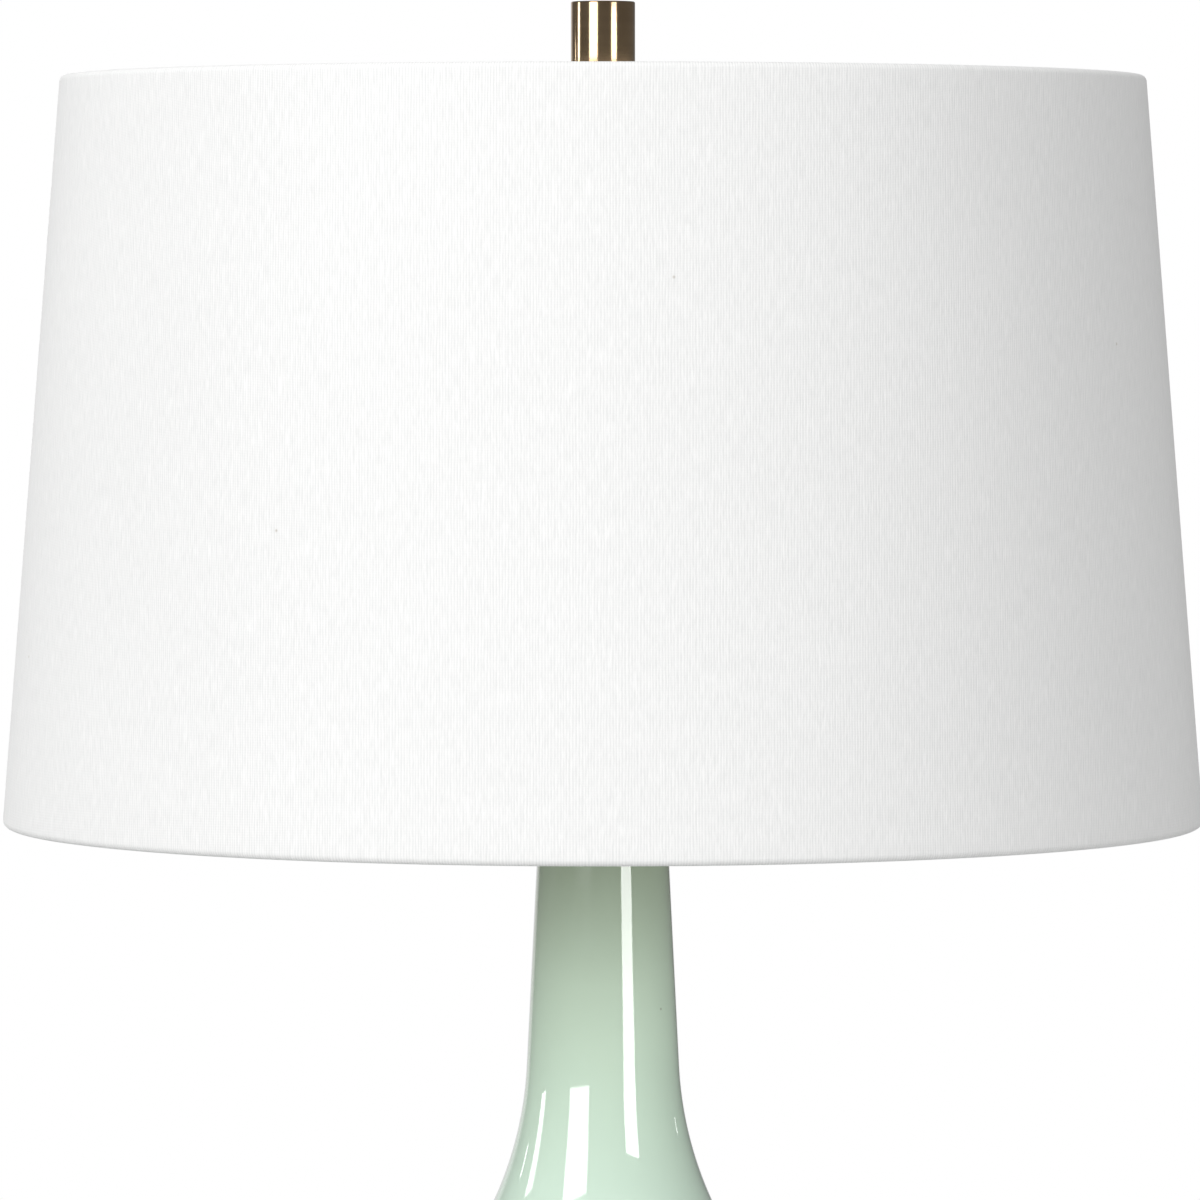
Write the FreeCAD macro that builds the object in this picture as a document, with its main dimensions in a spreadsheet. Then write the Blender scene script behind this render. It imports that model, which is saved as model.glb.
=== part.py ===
import FreeCAD, Part
import math
import os
import re
import Sketcher

# Table lamp: a glazed bottle on a turned foot, a threaded rod up its middle, a turn-knob socket
# with its bulb, a bow-shaped harp, and a fabric drum shade clamped by a finial.
# Millimetres. The table is z = 0, the rod's axis is Z, and the harp's bow lies in the XZ plane.

V = FreeCAD.Vector
X_AXIS = V(1, 0, 0)
Z_AXIS = V(0, 0, 1)

SIZES = {
    # foot and what closes the stack from below
    "felt_outer": 63.0,
    "felt_inner": 50.0,
    "felt_height": 2.0,
    "foot_radius": 66.0,
    "foot_height": 18.0,
    "foot_wall": 4.0,
    "foot_plate": 4.0,
    "foot_shoulder": 2.5,
    "foot_edge": 1.0,
    "gasket_outer": 58.0,
    "gasket_inner": 45.0,
    "gasket_height": 1.2,
    "washer_radius": 19.0,
    "washer_height": 1.5,
    "lock_radius": 8.5,
    "lock_height": 1.2,
    "nut_flats": 14.0,
    "low_nut_height": 4.5,
    # cord inlet in the back of the foot
    "inlet_level": 10.0,
    "inlet_bore": 3.5,
    "inlet_barrel": 4.95,
    "inlet_hole": 5.0,
    "inlet_flange": 6.5,
    "inlet_flange_height": 2.0,
    "inlet_lip": 1.5,
    # glazed bottle: heights above its own foot ring, angles from the vertical
    "bottle_height": 383.8,
    "bottle_foot_radius": 60.0,
    "bottle_foot_height": 5.8,
    "bottle_ring_inner": 50.0,
    "bottle_recess": 3.0,
    "bottle_floor": 12.0,
    "bottle_wall": 6.0,
    "bottle_hole": 7.1,
    "belly_radius": 120.0,
    "belly_level": 81.6,
    "shoulder_arc": 100.7,
    "shoulder_turn": 50.0,
    "hollow_arc": 149.6,
    "neck_lean": 2.86,
    # rod, neck cap and nut
    "rod_radius": 4.85,
    "rod_bore": 3.3,
    "rod_clearance": 0.25,
    "rod_low_end": 7.5,
    "rod_length": 419.5,
    "seal_outer": 23.0,
    "seal_inner": 12.0,
    "seal_height": 1.5,
    "cap_radius": 27.6,
    "cap_skirt_inner": 25.9,
    "cap_skirt_depth": 10.5,
    "cap_plate": 4.5,
    "cap_edge": 3.0,
    "neck_nut_height": 5.5,
    # harp saddle and harp
    "saddle_half": 29.8,
    "saddle_gauge": 1.6,
    "saddle_width": 14.0,
    "saddle_bend": 3.2,
    "saddle_taper_start": 10.0,
    "saddle_taper_end": 24.0,
    "ear_width": 5.0,
    "ear_top": 17.5,
    "harp_height": 254.0,
    "harp_leg": 30.0,
    "harp_wire": 2.0,
    "harp_lap": 10.0,
    "harp_flare_level": 46.5,
    "harp_side": 57.0,
    "harp_side_low": 83.5,
    "harp_side_high": 189.5,
    "harp_crown": 20.0,
    "harp_leg_bend": 40.0,
    "harp_side_low_bend": 60.0,
    "harp_side_high_bend": 70.0,
    "harp_crown_bend": 20.0,
    "harp_block_half": 6.5,
    "harp_block_depth": 5.5,
    "harp_block_height": 6.4,
    "harp_head_seat": 2.0,
    "sleeve_radius": 4.5,
    "sleeve_bore": 3.5,
    "sleeve_neck": 2.3,
    "sleeve_tip": 3.1,
    "sleeve_height": 16.0,
    "sleeve_neck_height": 2.4,
    "sleeve_level": 4.5,
    "stud_thread": 3.175,
    "stud_thread_height": 11.9,
    "stud_shoulder": 8.0,
    "stud_shoulder_height": 2.1,
    "stud_neck": 2.5,
    "stud_neck_bore": 2.55,
    "stud_head": 3.3,
    "stud_head_bore": 3.6,
    "stud_head_height": 1.5,
    "stud_head_level": 0.3,
    "stud_chamfer": 0.8,
    # socket
    "socket_hub": 7.5,
    "socket_hub_height": 7.0,
    "socket_cap_radius": 17.6,
    "socket_cap_bowl": 18.0,
    "socket_cap_curve": 14.0,
    "socket_cap_height": 22.0,
    "socket_cap_gauge": 0.8,
    "socket_shell_radius": 16.7,
    "socket_shell_gauge": 0.7,
    "socket_shell_low": 18.4,
    "socket_shell_height": 43.0,
    "socket_bead": 17.6,
    "socket_bead_height": 1.5,
    "sleeve_paper_radius": 15.9,
    "sleeve_paper_gauge": 0.8,
    "sleeve_paper_low": 19.9,
    "sleeve_paper_height": 40.0,
    "core_radius": 14.9,
    "core_low": 12.9,
    "core_height": 24.0,
    "core_waist": 11.0,
    "core_waist_height": 5.0,
    "core_cone": 3.0,
    "screw_radius": 13.9,
    "screw_gauge": 0.5,
    "screw_height": 22.5,
    "contact_radius": 4.0,
    "contact_height": 1.0,
    "terminal_radius": 2.2,
    "terminal_height": 2.0,
    "terminal_level": 15.6,
    # switch
    "switch_level": 30.0,
    "switch_boss": 4.0,
    "switch_boss_reach": 20.0,
    "switch_window": 4.4,
    "switch_shaft_radius": 2.0,
    "switch_shaft_bore": 2.05,
    "switch_shaft_inner": 9.5,
    "switch_bore_end": 9.2,
    "switch_shaft_outer": 31.0,
    "knob_radius": 6.5,
    "knob_grip": 5.2,
    "knob_inner": 22.0,
    "knob_length": 17.0,
    "knob_collar": 4.0,
    "knob_edge": 1.0,
    # bulb: levels above the socket's contact
    "tip_radius": 4.5,
    "tip_height": 1.5,
    "bulb_cone_height": 3.5,
    "bulb_cone_radius": 12.0,
    "bulb_screw_radius": 13.0,
    "bulb_screw_height": 20.0,
    "bulb_neck": 14.2,
    "bulb_radius": 30.0,
    "bulb_housing_height": 38.0,
    "bulb_flare": 52.0,
    "bulb_lip": 27.2,
    "globe_belly": 16.0,
    "globe_flare": 48.0,
    "globe_height": 46.0,
    # shade: radii and levels of its rolled edges
    "shade_low_level": 385.0,
    "shade_low_radius": 241.3,
    "shade_height": 300.8,
    "shade_top_radius": 218.0,
    "roll_radius": 2.6,
    "fabric_gauge": 0.8,
    "liner_gauge": 0.6,
    "ring_wire": 1.7,
    "hem_turn": 35.0,
    "hub_radius": 16.0,
    "hub_hole": 3.5,
    "hub_gauge": 1.5,
    "arm_wire": 1.7,
    "arm_start": 8.5,
    "arm_level_reach": 24.0,
    "arm_bend": 60.0,
    "arm_slit": 2.1,
    # finial
    "finial_radius": 12.9,
    "finial_height": 42.1,
    "finial_neck": 7.0,
    "finial_neck_height": 5.5,
    "finial_bevel": 1.0,
    "finial_edge": 0.6,
    "finial_bore": 3.25,
    "finial_bore_depth": 12.5,
}

doc = FreeCAD.newDocument("TableLamp")
sheet = doc.addObject("Spreadsheet::Sheet", "Sizes")
for row, (alias, number) in enumerate(SIZES.items(), start=1):
    sheet.set(f"A{row}", alias)
    sheet.set(f"B{row}", str(number))
    sheet.setAlias(f"B{row}", alias)
doc.recompute()

ARM_AZIMUTHS = {"spider_arm_back": 90, "spider_arm_left": 210, "spider_arm_right": 330}
NEAR = 1e-6

subparts = []


# ---- Reading and binding sizes -------------------------------------------------------------


def bound(text):
    """The expression with each size's name pointing at its cell."""
    return re.sub(r"[a-z]\w+", lambda word: f"Sizes.{word[0]}" if word[0] in SIZES else word[0], text)


def value(text):
    """The number that an expression of sizes gives."""
    found = sheet.evalExpression(bound(text))
    return float(getattr(found, "Value", found))


# ---- Levels and derived sizes, as expressions of the sizes ----------------------------------

foot_top = "felt_height + foot_height"
plate_under = f"{foot_top} - foot_plate"
bottle_level = f"{foot_top} + gasket_height"
seal_level = f"{bottle_level} + bottle_height"
cap_top = f"{seal_level} + seal_height + cap_plate"
saddle_level = f"{cap_top} + neck_nut_height"
saddle_top = f"{saddle_level} + saddle_gauge"
harp_seat = f"{saddle_top} + harp_height"
core_top = f"{saddle_top} + core_low + core_height"
contact_top = f"{core_top} + contact_height"
hub_top = f"{harp_seat} + hub_gauge"
bore_radius = "rod_radius + rod_clearance"
roll_low_radius = "shade_low_radius - roll_radius"
roll_top_radius = "shade_top_radius - roll_radius"
roll_low_level = "shade_low_level + roll_radius"
roll_rise = "(shade_height - 2 * roll_radius)"
roll_lean = f"atan((shade_low_radius - shade_top_radius) / {roll_rise})"
roll_span = f"sqrt((shade_low_radius - shade_top_radius)^2 + {roll_rise}^2)"


# ---- Bodies, sketches and features -----------------------------------------------------------


def placed(part, x="0", y="0", level="0", axis=Z_AXIS, angle=0.0):
    """Turns the sub-part about its own origin, binds its place to the sheet and lists it."""
    part.Placement = FreeCAD.Placement(V(0, 0, 0), FreeCAD.Rotation(axis, angle))
    for name, text in (("x", x), ("y", y), ("z", level)):
        part.setExpression(f"Placement.Base.{name}", bound(text))
    subparts.append(part)
    return part


def new_body(name, **place):
    body = doc.addObject("PartDesign::Body", name)
    body.Label = name
    return placed(body, **place)


def origin_item(body, role):
    return next(item for item in body.Origin.OriginFeatures if item.Role == role)


def new_sketch(body, name, plane="XZ_Plane"):
    sketch = body.newObject("Sketcher::SketchObject", name)
    sketch.AttachmentSupport = [(origin_item(body, plane), "")]
    sketch.MapMode = "FlatFace"
    return sketch


def arc_between(start, end, radius):
    """The short arc from start to end: it turns left for a positive radius, right for a negative one."""
    chord = end - start
    half = chord.Length / 2
    sagitta = abs(radius) - math.sqrt(max(radius * radius - half * half, 0.0))
    right = V(chord.y, -chord.x, 0).normalize()
    middle = (start + end) * 0.5 + right * math.copysign(sagitta, radius)
    return Part.Arc(start, middle, end)


def hold_point(sketch, geometry, end, x, y):
    """Fixes one end of a line or arc at a place given by two expressions."""
    for text, kind, axis in ((x, "DistanceX", -2), (y, "DistanceY", -1)):
        if abs(value(text)) < NEAR:
            sketch.addConstraint(Sketcher.Constraint("PointOnObject", geometry, end, axis))
        else:
            number = value(text)
            index = sketch.addConstraint(Sketcher.Constraint(kind, -1, 1, geometry, end, number))
            sketch.setExpression(f"Constraints[{index}]", bound(text))


def outline(sketch, *corners):
    """Draws a closed outline. A corner is (x, y), or (x, y, radius) where an arc leads to it."""
    spots = [V(value(corner[0]), value(corner[1]), 0) for corner in corners]
    pieces = []
    for index, corner in enumerate(corners):
        start, end = spots[index - 1], spots[index]
        if len(corner) == 3:
            curve = arc_between(start, end, value(corner[2]))
        else:
            curve = Part.LineSegment(start, end)
        geometry = sketch.addGeometry(curve)
        last = 2 if sketch.getPoint(geometry, 2).distanceToPoint(end) < NEAR else 1
        pieces.append((geometry, 3 - last, last))
    for index, (corner, (geometry, first, last)) in enumerate(zip(corners, pieces)):
        following, following_first, _ = pieces[(index + 1) % len(pieces)]
        sketch.addConstraint(Sketcher.Constraint("Coincident", geometry, last, following, following_first))
        hold_point(sketch, geometry, last, corner[0], corner[1])
        if len(corner) == 3:
            held = sketch.addConstraint(Sketcher.Constraint("Radius", geometry, abs(value(corner[2]))))
            sketch.setExpression(f"Constraints[{held}]", f"abs({bound(corner[2])})")


def ring_outline(sketch, x, y, radius):
    """Draws a circle about a place."""
    circle = Part.Circle(V(value(x), value(y), 0), Z_AXIS, value(radius))
    geometry = sketch.addGeometry(circle)
    hold_point(sketch, geometry, 3, x, y)
    held = sketch.addConstraint(Sketcher.Constraint("Radius", geometry, value(radius)))
    sketch.setExpression(f"Constraints[{held}]", bound(radius))


def revolve(body, sketch):
    turned_solid = body.newObject("PartDesign::Revolution", body.Name + "_turned")
    turned_solid.Profile = sketch
    turned_solid.ReferenceAxis = (origin_item(body, "Z_Axis"), [""])
    turned_solid.Angle = 360
    return turned_solid


def turned(name, *corners, **place):
    """A body turned on a lathe: an outline of radius and height, revolved about the body's Z axis."""
    body = new_body(name, **place)
    sketch = new_sketch(body, name + "_profile")
    outline(sketch, *corners)
    revolve(body, sketch)
    return body


def ring(name, inner, outer, height, **place):
    """A plain turned ring, or a disc where inner is 0."""
    corners = ((inner, "0"), (outer, "0"), (outer, height), (inner, height))
    return turned(name, *corners, **place)


def pad(body, sketch, length, both_ways=False):
    feature = body.newObject("PartDesign::Pad", sketch.Name + "_pad")
    feature.Profile = sketch
    feature.setExpression("Length", bound(length))
    feature.Midplane = both_ways
    return feature


def pocket(body, sketch, length, backwards=False, both_ways=False):
    """Cuts away against the sketch's normal, or along it when backwards. It has to remove something."""
    doc.recompute()
    before = body.Shape.Volume
    feature = body.newObject("PartDesign::Pocket", sketch.Name + "_pocket")
    feature.Profile = sketch
    feature.setExpression("Length", bound(length))
    feature.Reversed = backwards
    feature.Midplane = both_ways
    doc.recompute()
    assert body.Shape.Volume < before - NEAR, f"{sketch.Name} cuts nothing"
    return feature


def hex_nut(name, height, **place):
    """A hexagon nut with a bored hole that clears the rod."""
    body = new_body(name, **place)
    sketch = new_sketch(body, name + "_plan", "XY_Plane")
    corner = "nut_flats / sqrt(3)"
    outline(sketch, *((f"{corner} * cos({turn})", f"{corner} * sin({turn})") for turn in range(0, 360, 60)))
    ring_outline(sketch, "0", "0", bore_radius)
    pad(body, sketch, height)
    return body


def rounded_path(points, bends):
    """Straight runs through the points, joined at each inner point by a tangent arc of its own radius."""
    edges = []
    here = points[0]
    for before, corner, after, bend in zip(points, points[1:], points[2:], bends):
        inward = (before - corner).normalize()
        outward = (after - corner).normalize()
        half_turn = (math.pi - inward.getAngle(outward)) / 2
        reach = bend * math.tan(half_turn)
        enter = corner + inward * reach
        leave = corner + outward * reach
        middle_way = (inward + outward).normalize()
        centre = corner + middle_way * (bend / math.cos(half_turn))
        edges.append(Part.LineSegment(here, enter).toShape())
        edges.append(Part.Arc(enter, centre - middle_way * bend, leave).toShape())
        here = leave
    edges.append(Part.LineSegment(here, points[-1]).toShape())
    return Part.Wire(edges)


def bent_wire(path, start, direction, radius):
    """A round wire along a path. Its volume has to be its section times its length."""
    section = Part.Wire([Part.Circle(start, direction, radius).toShape()])
    solid = path.makePipeShell([section], True, False)
    expected = math.pi * radius * radius * path.Length
    assert abs(solid.Volume / expected - 1) < 0.01, "a bent wire came out wrong"
    return solid


def shaped(name, shape, **place):
    """A sub-part whose shape comes from its own function."""
    feature = doc.addObject("Part::Feature", name)
    feature.Label = name
    feature.Shape = shape
    return placed(feature, **place)


# ---- Foot --------------------------------------------------------------------------------------


def make_foot():
    ring("felt_ring", "felt_inner", "felt_outer", "felt_height")

    inside = "foot_radius - foot_wall"
    under = "foot_height - foot_plate"
    foot = turned(
        "foot",
        (inside, "0"),
        ("foot_radius - foot_edge", "0"),
        ("foot_radius", "foot_edge", "foot_edge"),
        ("foot_radius", "foot_height - foot_shoulder"),
        ("foot_radius - foot_shoulder", "foot_height", "foot_shoulder"),
        (bore_radius, "foot_height"),
        (bore_radius, under),
        (inside, under),
        level="felt_height",
    )
    inlet = new_sketch(foot, "inlet_hole_plan")
    ring_outline(inlet, "0", "inlet_level - felt_height", "inlet_hole")
    pocket(foot, inlet, "foot_radius + inlet_lip")

    # an insulating bushing snapped into the back wall, its mouth towards +Y
    barrel_end = "inlet_lip + foot_wall"
    turned(
        "cord_bushing",
        ("inlet_bore", "0"),
        ("inlet_barrel", "0"),
        ("inlet_barrel", barrel_end),
        ("inlet_flange", barrel_end),
        ("inlet_flange", f"{barrel_end} + inlet_flange_height - foot_edge"),
        ("inlet_flange - foot_edge", f"{barrel_end} + inlet_flange_height", "foot_edge"),
        ("inlet_bore", f"{barrel_end} + inlet_flange_height"),
        y="foot_radius - foot_wall - inlet_lip",
        level="inlet_level",
        axis=X_AXIS,
        angle=-90,
    )

    washer_level = f"{plate_under} - washer_height"
    lock_level = f"{washer_level} - lock_height"
    ring("bottom_washer", bore_radius, "washer_radius", "washer_height", level=washer_level)
    ring("lock_washer", bore_radius, "lock_radius", "lock_height", level=lock_level)
    hex_nut("bottom_nut", "low_nut_height", level=f"{lock_level} - low_nut_height")
    ring("foot_gasket", "gasket_inner", "gasket_outer", "gasket_height", level=foot_top)


# ---- Bottle --------------------------------------------------------------------------------------


def make_bottle():
    """The glazed bottle: foot ring, round belly, a hollow curve up to a long tapering neck."""
    shoulder_centre = "(belly_radius - shoulder_arc)"
    flex_radius = f"({shoulder_centre} + shoulder_arc * cos(shoulder_turn))"
    flex_level = "(belly_level + shoulder_arc * sin(shoulder_turn))"
    neck_radius = f"({flex_radius} - hollow_arc * (cos(neck_lean) - cos(shoulder_turn)))"
    neck_level = f"({flex_level} + hollow_arc * (sin(shoulder_turn) - sin(neck_lean)))"
    rim_radius = f"({neck_radius} - (bottle_height - {neck_level}) * tan(neck_lean))"
    drop = "(belly_level - bottle_foot_height)"
    spread = "(belly_radius - bottle_foot_radius)"
    low_arc = f"(({drop}^2 + {spread}^2) / (2 * {spread}))"
    floor_reach = f"sqrt(({low_arc} - bottle_wall)^2 - (belly_level - bottle_floor)^2)"
    turned(
        "ceramic_body",
        ("bottle_hole", "bottle_floor"),
        ("bottle_hole", "bottle_recess"),
        ("bottle_ring_inner", "bottle_recess"),
        ("bottle_ring_inner", "0"),
        ("bottle_foot_radius", "0"),
        ("bottle_foot_radius", "bottle_foot_height"),
        ("belly_radius", "belly_level", low_arc),
        (flex_radius, flex_level, "shoulder_arc"),
        (neck_radius, neck_level, "-hollow_arc"),
        (rim_radius, "bottle_height"),
        (f"{rim_radius} - bottle_wall", "bottle_height"),
        (f"{neck_radius} - bottle_wall * cos(neck_lean)", f"{neck_level} - bottle_wall * sin(neck_lean)"),
        (
            f"{flex_radius} - bottle_wall * cos(shoulder_turn)",
            f"{flex_level} - bottle_wall * sin(shoulder_turn)",
            "hollow_arc + bottle_wall",
        ),
        ("belly_radius - bottle_wall", "belly_level", "-(shoulder_arc - bottle_wall)"),
        (f"belly_radius - {low_arc} + {floor_reach}", "bottle_floor", f"-({low_arc} - bottle_wall)"),
        level=bottle_level,
    )


def make_neck():
    ring("neck_gasket", "seal_inner", "seal_outer", "seal_height", level=seal_level)
    cap_height = "cap_skirt_depth + cap_plate"
    turned(
        "neck_cap",
        (bore_radius, "cap_skirt_depth"),
        ("cap_skirt_inner", "cap_skirt_depth"),
        ("cap_skirt_inner", "0"),
        ("cap_radius", "0"),
        ("cap_radius", f"{cap_height} - cap_edge"),
        ("cap_radius - cap_edge", cap_height, "cap_edge"),
        (bore_radius, cap_height),
        level=f"{seal_level} + seal_height - cap_skirt_depth",
    )
    ring("threaded_rod", "rod_bore", "rod_radius", "rod_length", level="rod_low_end")
    hex_nut("neck_nut", "neck_nut_height", level=cap_top)


# ---- Harp ------------------------------------------------------------------------------------------


def make_saddle():
    """A strip clamped under the socket, with an ear bent up at each end."""
    body = new_body("harp_saddle", level=saddle_level)
    side = new_sketch(body, "saddle_side")
    inner = "(saddle_half - saddle_gauge)"
    inner_bend = "(saddle_bend - saddle_gauge)"
    outline(
        side,
        ("saddle_half - saddle_bend", "0"),
        ("saddle_half", "saddle_bend", "saddle_bend"),
        ("saddle_half", "ear_top"),
        (inner, "ear_top"),
        (inner, "saddle_bend"),
        (f"{inner} - {inner_bend}", "saddle_gauge", f"-{inner_bend}"),
        (f"-{inner} + {inner_bend}", "saddle_gauge"),
        (f"-{inner}", "saddle_bend", f"-{inner_bend}"),
        (f"-{inner}", "ear_top"),
        ("-saddle_half", "ear_top"),
        ("-saddle_half", "saddle_bend"),
        ("-saddle_half + saddle_bend", "0", "saddle_bend"),
    )
    pad(body, side, "saddle_width", both_ways=True)

    # the strip narrows from the hub to the ears
    plan = new_sketch(body, "saddle_plan", "XY_Plane")
    edge, ear, outside = "saddle_width", "ear_width / 2", "2 * saddle_half"
    for x in ("", "-"):
        for y in ("", "-"):
            outline(
                plan,
                (f"{x}(saddle_taper_start)", f"{y}(saddle_width / 2)"),
                (f"{x}(saddle_taper_end)", f"{y}({ear})"),
                (f"{x}({outside})", f"{y}({ear})"),
                (f"{x}({outside})", f"{y}({edge})"),
                (f"{x}(saddle_taper_start)", f"{y}({edge})"),
            )
    pocket(body, plan, "3 * ear_top", both_ways=True)
    hole = new_sketch(body, "saddle_hole", "XY_Plane")
    ring_outline(hole, "0", "0", bore_radius)
    pocket(body, hole, "3 * ear_top", both_ways=True)


def harp_wire(side):
    """One wire of the harp, from its lapped foot beside an ear up to the block. side is 1 or -1."""
    leg, flank, crown = (side * value(name) for name in ("harp_leg", "harp_side", "harp_crown"))
    block = side * value("harp_block_half")
    base = value(saddle_top)
    shoulder = value(f"{saddle_level} + ear_top")
    foot_level = shoulder - value("harp_lap")
    wire = value("harp_wire")
    crown_level = value(f"{harp_seat} - stud_shoulder_height") - value("harp_block_height") / 2
    points = [
        V(leg, 0, foot_level),
        V(leg, 0, base + value("harp_flare_level")),
        V(flank, 0, base + value("harp_side_low")),
        V(flank, 0, base + value("harp_side_high")),
        V(crown, 0, crown_level),
        V(block, 0, crown_level),
    ]
    bends = ("harp_leg_bend", "harp_side_low_bend", "harp_side_high_bend", "harp_crown_bend")
    path = rounded_path(points, [value(bend) for bend in bends])
    solid = bent_wire(path, points[0], Z_AXIS, wire)
    lap = Part.makeBox(2 * wire, 4 * wire, shoulder - foot_level)
    lap.translate(V(leg if side < 0 else leg - 2 * wire, -2 * wire, foot_level))
    return solid.cut(lap)


def make_harp():
    shaped("harp_wire_right", harp_wire(1))
    shaped("harp_wire_left", harp_wire(-1))

    block_level = f"{harp_seat} - stud_shoulder_height - harp_block_height"
    block = new_body("harp_top_block", level=block_level)
    plan = new_sketch(block, "block_plan", "XY_Plane")
    half, depth = "harp_block_half", "harp_block_depth"
    outline(plan, (f"-{half}", f"-{depth}"), (half, f"-{depth}"), (half, depth), (f"-{half}", depth))
    pad(block, plan, "harp_block_height")
    bore = new_sketch(block, "block_bore", "XY_Plane")
    ring_outline(bore, "0", "0", "stud_neck_bore")
    pocket(block, bore, "harp_block_height", backwards=True)
    seat = new_sketch(block, "block_head_seat", "XY_Plane")
    ring_outline(seat, "0", "0", "stud_head_bore")
    pocket(block, seat, "harp_head_seat", backwards=True)

    for name, sign in (("harp_sleeve_right", ""), ("harp_sleeve_left", "-")):
        turned(
            name,
            ("sleeve_bore", "0"),
            ("sleeve_radius", "0"),
            ("sleeve_radius", "sleeve_height - sleeve_neck_height"),
            ("sleeve_tip", "sleeve_height"),
            ("sleeve_neck", "sleeve_height"),
            ("sleeve_neck", "sleeve_height - sleeve_neck_height"),
            ("sleeve_bore", "sleeve_height - sleeve_neck_height"),
            x=f"{sign}harp_leg",
            level=f"{saddle_level} + sleeve_level",
        )

    # the stud swivels in the block: retaining head, neck, seat for the shade and finial thread
    head_top = "stud_head_level + stud_head_height"
    stud_top = "harp_block_height + stud_shoulder_height + stud_thread_height"
    turned(
        "harp_stud",
        ("0", "stud_head_level"),
        ("stud_head", "stud_head_level"),
        ("stud_head", head_top),
        ("stud_neck", head_top),
        ("stud_neck", "harp_block_height"),
        ("stud_shoulder", "harp_block_height"),
        ("stud_shoulder", "harp_block_height + stud_shoulder_height"),
        ("stud_thread", "harp_block_height + stud_shoulder_height"),
        ("stud_thread", f"{stud_top} - stud_chamfer"),
        ("stud_thread - stud_chamfer", stud_top),
        ("0", stud_top),
        level=block_level,
    )


# ---- Socket, switch and bulb -------------------------------------------------------------------------


def make_socket():
    bowl_inner = "socket_cap_radius - socket_cap_gauge"
    hub_floor = "socket_hub_height + socket_cap_gauge"
    turned(
        "socket_cap",
        (bore_radius, "0"),
        ("socket_hub", "0"),
        ("socket_hub", "socket_hub_height"),
        ("socket_cap_radius", "socket_cap_bowl", "socket_cap_curve"),
        ("socket_cap_radius", "socket_cap_height"),
        (bowl_inner, "socket_cap_height"),
        (bowl_inner, "socket_cap_bowl"),
        ("socket_hub", hub_floor, "-(socket_cap_curve - socket_cap_gauge)"),
        (bore_radius, hub_floor),
        level=saddle_top,
    )

    shell = turned(
        "socket_shell",
        ("socket_shell_radius - socket_shell_gauge", "0"),
        ("socket_shell_radius", "0"),
        ("socket_shell_radius", "socket_shell_height - 2 * socket_bead_height"),
        ("socket_bead", "socket_shell_height - socket_bead_height"),
        ("socket_bead", "socket_shell_height"),
        ("socket_shell_radius - socket_shell_gauge", "socket_shell_height"),
        level=f"{saddle_top} + socket_shell_low",
    )
    window = new_sketch(shell, "shell_window")
    ring_outline(window, "0", "switch_level - socket_shell_low", "switch_window")
    pocket(shell, window, "2 * socket_bead", backwards=True)

    paper = ring(
        "socket_insulator",
        "sleeve_paper_radius - sleeve_paper_gauge",
        "sleeve_paper_radius",
        "sleeve_paper_height",
        level=f"{saddle_top} + sleeve_paper_low",
    )
    opening = new_sketch(paper, "paper_window")
    ring_outline(opening, "0", "switch_level - sleeve_paper_low", "switch_window")
    pocket(paper, opening, "2 * socket_bead", backwards=True)

    # the moulded core holds the switch, with a boss for its shaft towards the front
    core = turned(
        "socket_core",
        ("0", "0"),
        ("core_waist", "0"),
        ("core_waist", "core_waist_height"),
        ("core_radius", "core_waist_height + core_cone"),
        ("core_radius", "core_height"),
        ("0", "core_height"),
        level=f"{saddle_top} + core_low",
    )
    boss = new_sketch(core, "switch_boss_plan")
    ring_outline(boss, "0", "switch_level - core_low", "switch_boss")
    pad(core, boss, "switch_boss_reach")
    bore = new_sketch(core, "switch_bore_plan")
    bore.setExpression("AttachmentOffset.Base.z", bound("switch_bore_end"))
    ring_outline(bore, "0", "switch_level - core_low", "switch_shaft_bore")
    pocket(core, bore, "switch_boss_reach", backwards=True)

    ring("screw_shell", "screw_radius - screw_gauge", "screw_radius", "screw_height", level=core_top)
    ring("centre_contact", "0", "contact_radius", "contact_height", level=core_top)

    heads = []
    for side in (1, -1):
        head = doc.addObject("Part::Cylinder", "terminal_head")
        head.setExpression("Radius", bound("terminal_radius"))
        head.setExpression("Height", bound("terminal_height"))
        head.Placement.Rotation = FreeCAD.Rotation(V(0, 1, 0), 90 * side)
        head.setExpression("Placement.Base.x", bound(f"{side} * core_waist"))
        head.setExpression("Placement.Base.z", bound(f"{saddle_top} + terminal_level"))
        heads.append(head)
    screws = doc.addObject("Part::Compound", "terminal_screws")
    screws.Label = "terminal_screws"
    screws.Links = heads
    subparts.append(screws)


def make_switch():
    """The turn knob and its shaft, both with their own Z axis towards the front."""
    front = {"axis": X_AXIS, "angle": 90, "level": f"{saddle_top} + switch_level"}
    shaft_length = "switch_shaft_outer - switch_shaft_inner"
    ring("switch_shaft", "0", "switch_shaft_radius", shaft_length, y="-switch_shaft_inner", **front)
    grip_start = "knob_collar + (knob_radius - knob_grip)"
    turned(
        "switch_knob",
        ("switch_shaft_radius", "0"),
        ("knob_radius", "0"),
        ("knob_radius", "knob_collar"),
        ("knob_grip", grip_start),
        ("knob_grip", "knob_length - knob_edge"),
        ("knob_grip - knob_edge", "knob_length", "knob_edge"),
        ("0", "knob_length"),
        ("0", f"{shaft_length} + switch_shaft_inner - knob_inner"),
        ("switch_shaft_radius", f"{shaft_length} + switch_shaft_inner - knob_inner"),
        y="-knob_inner",
        **front,
    )


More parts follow.
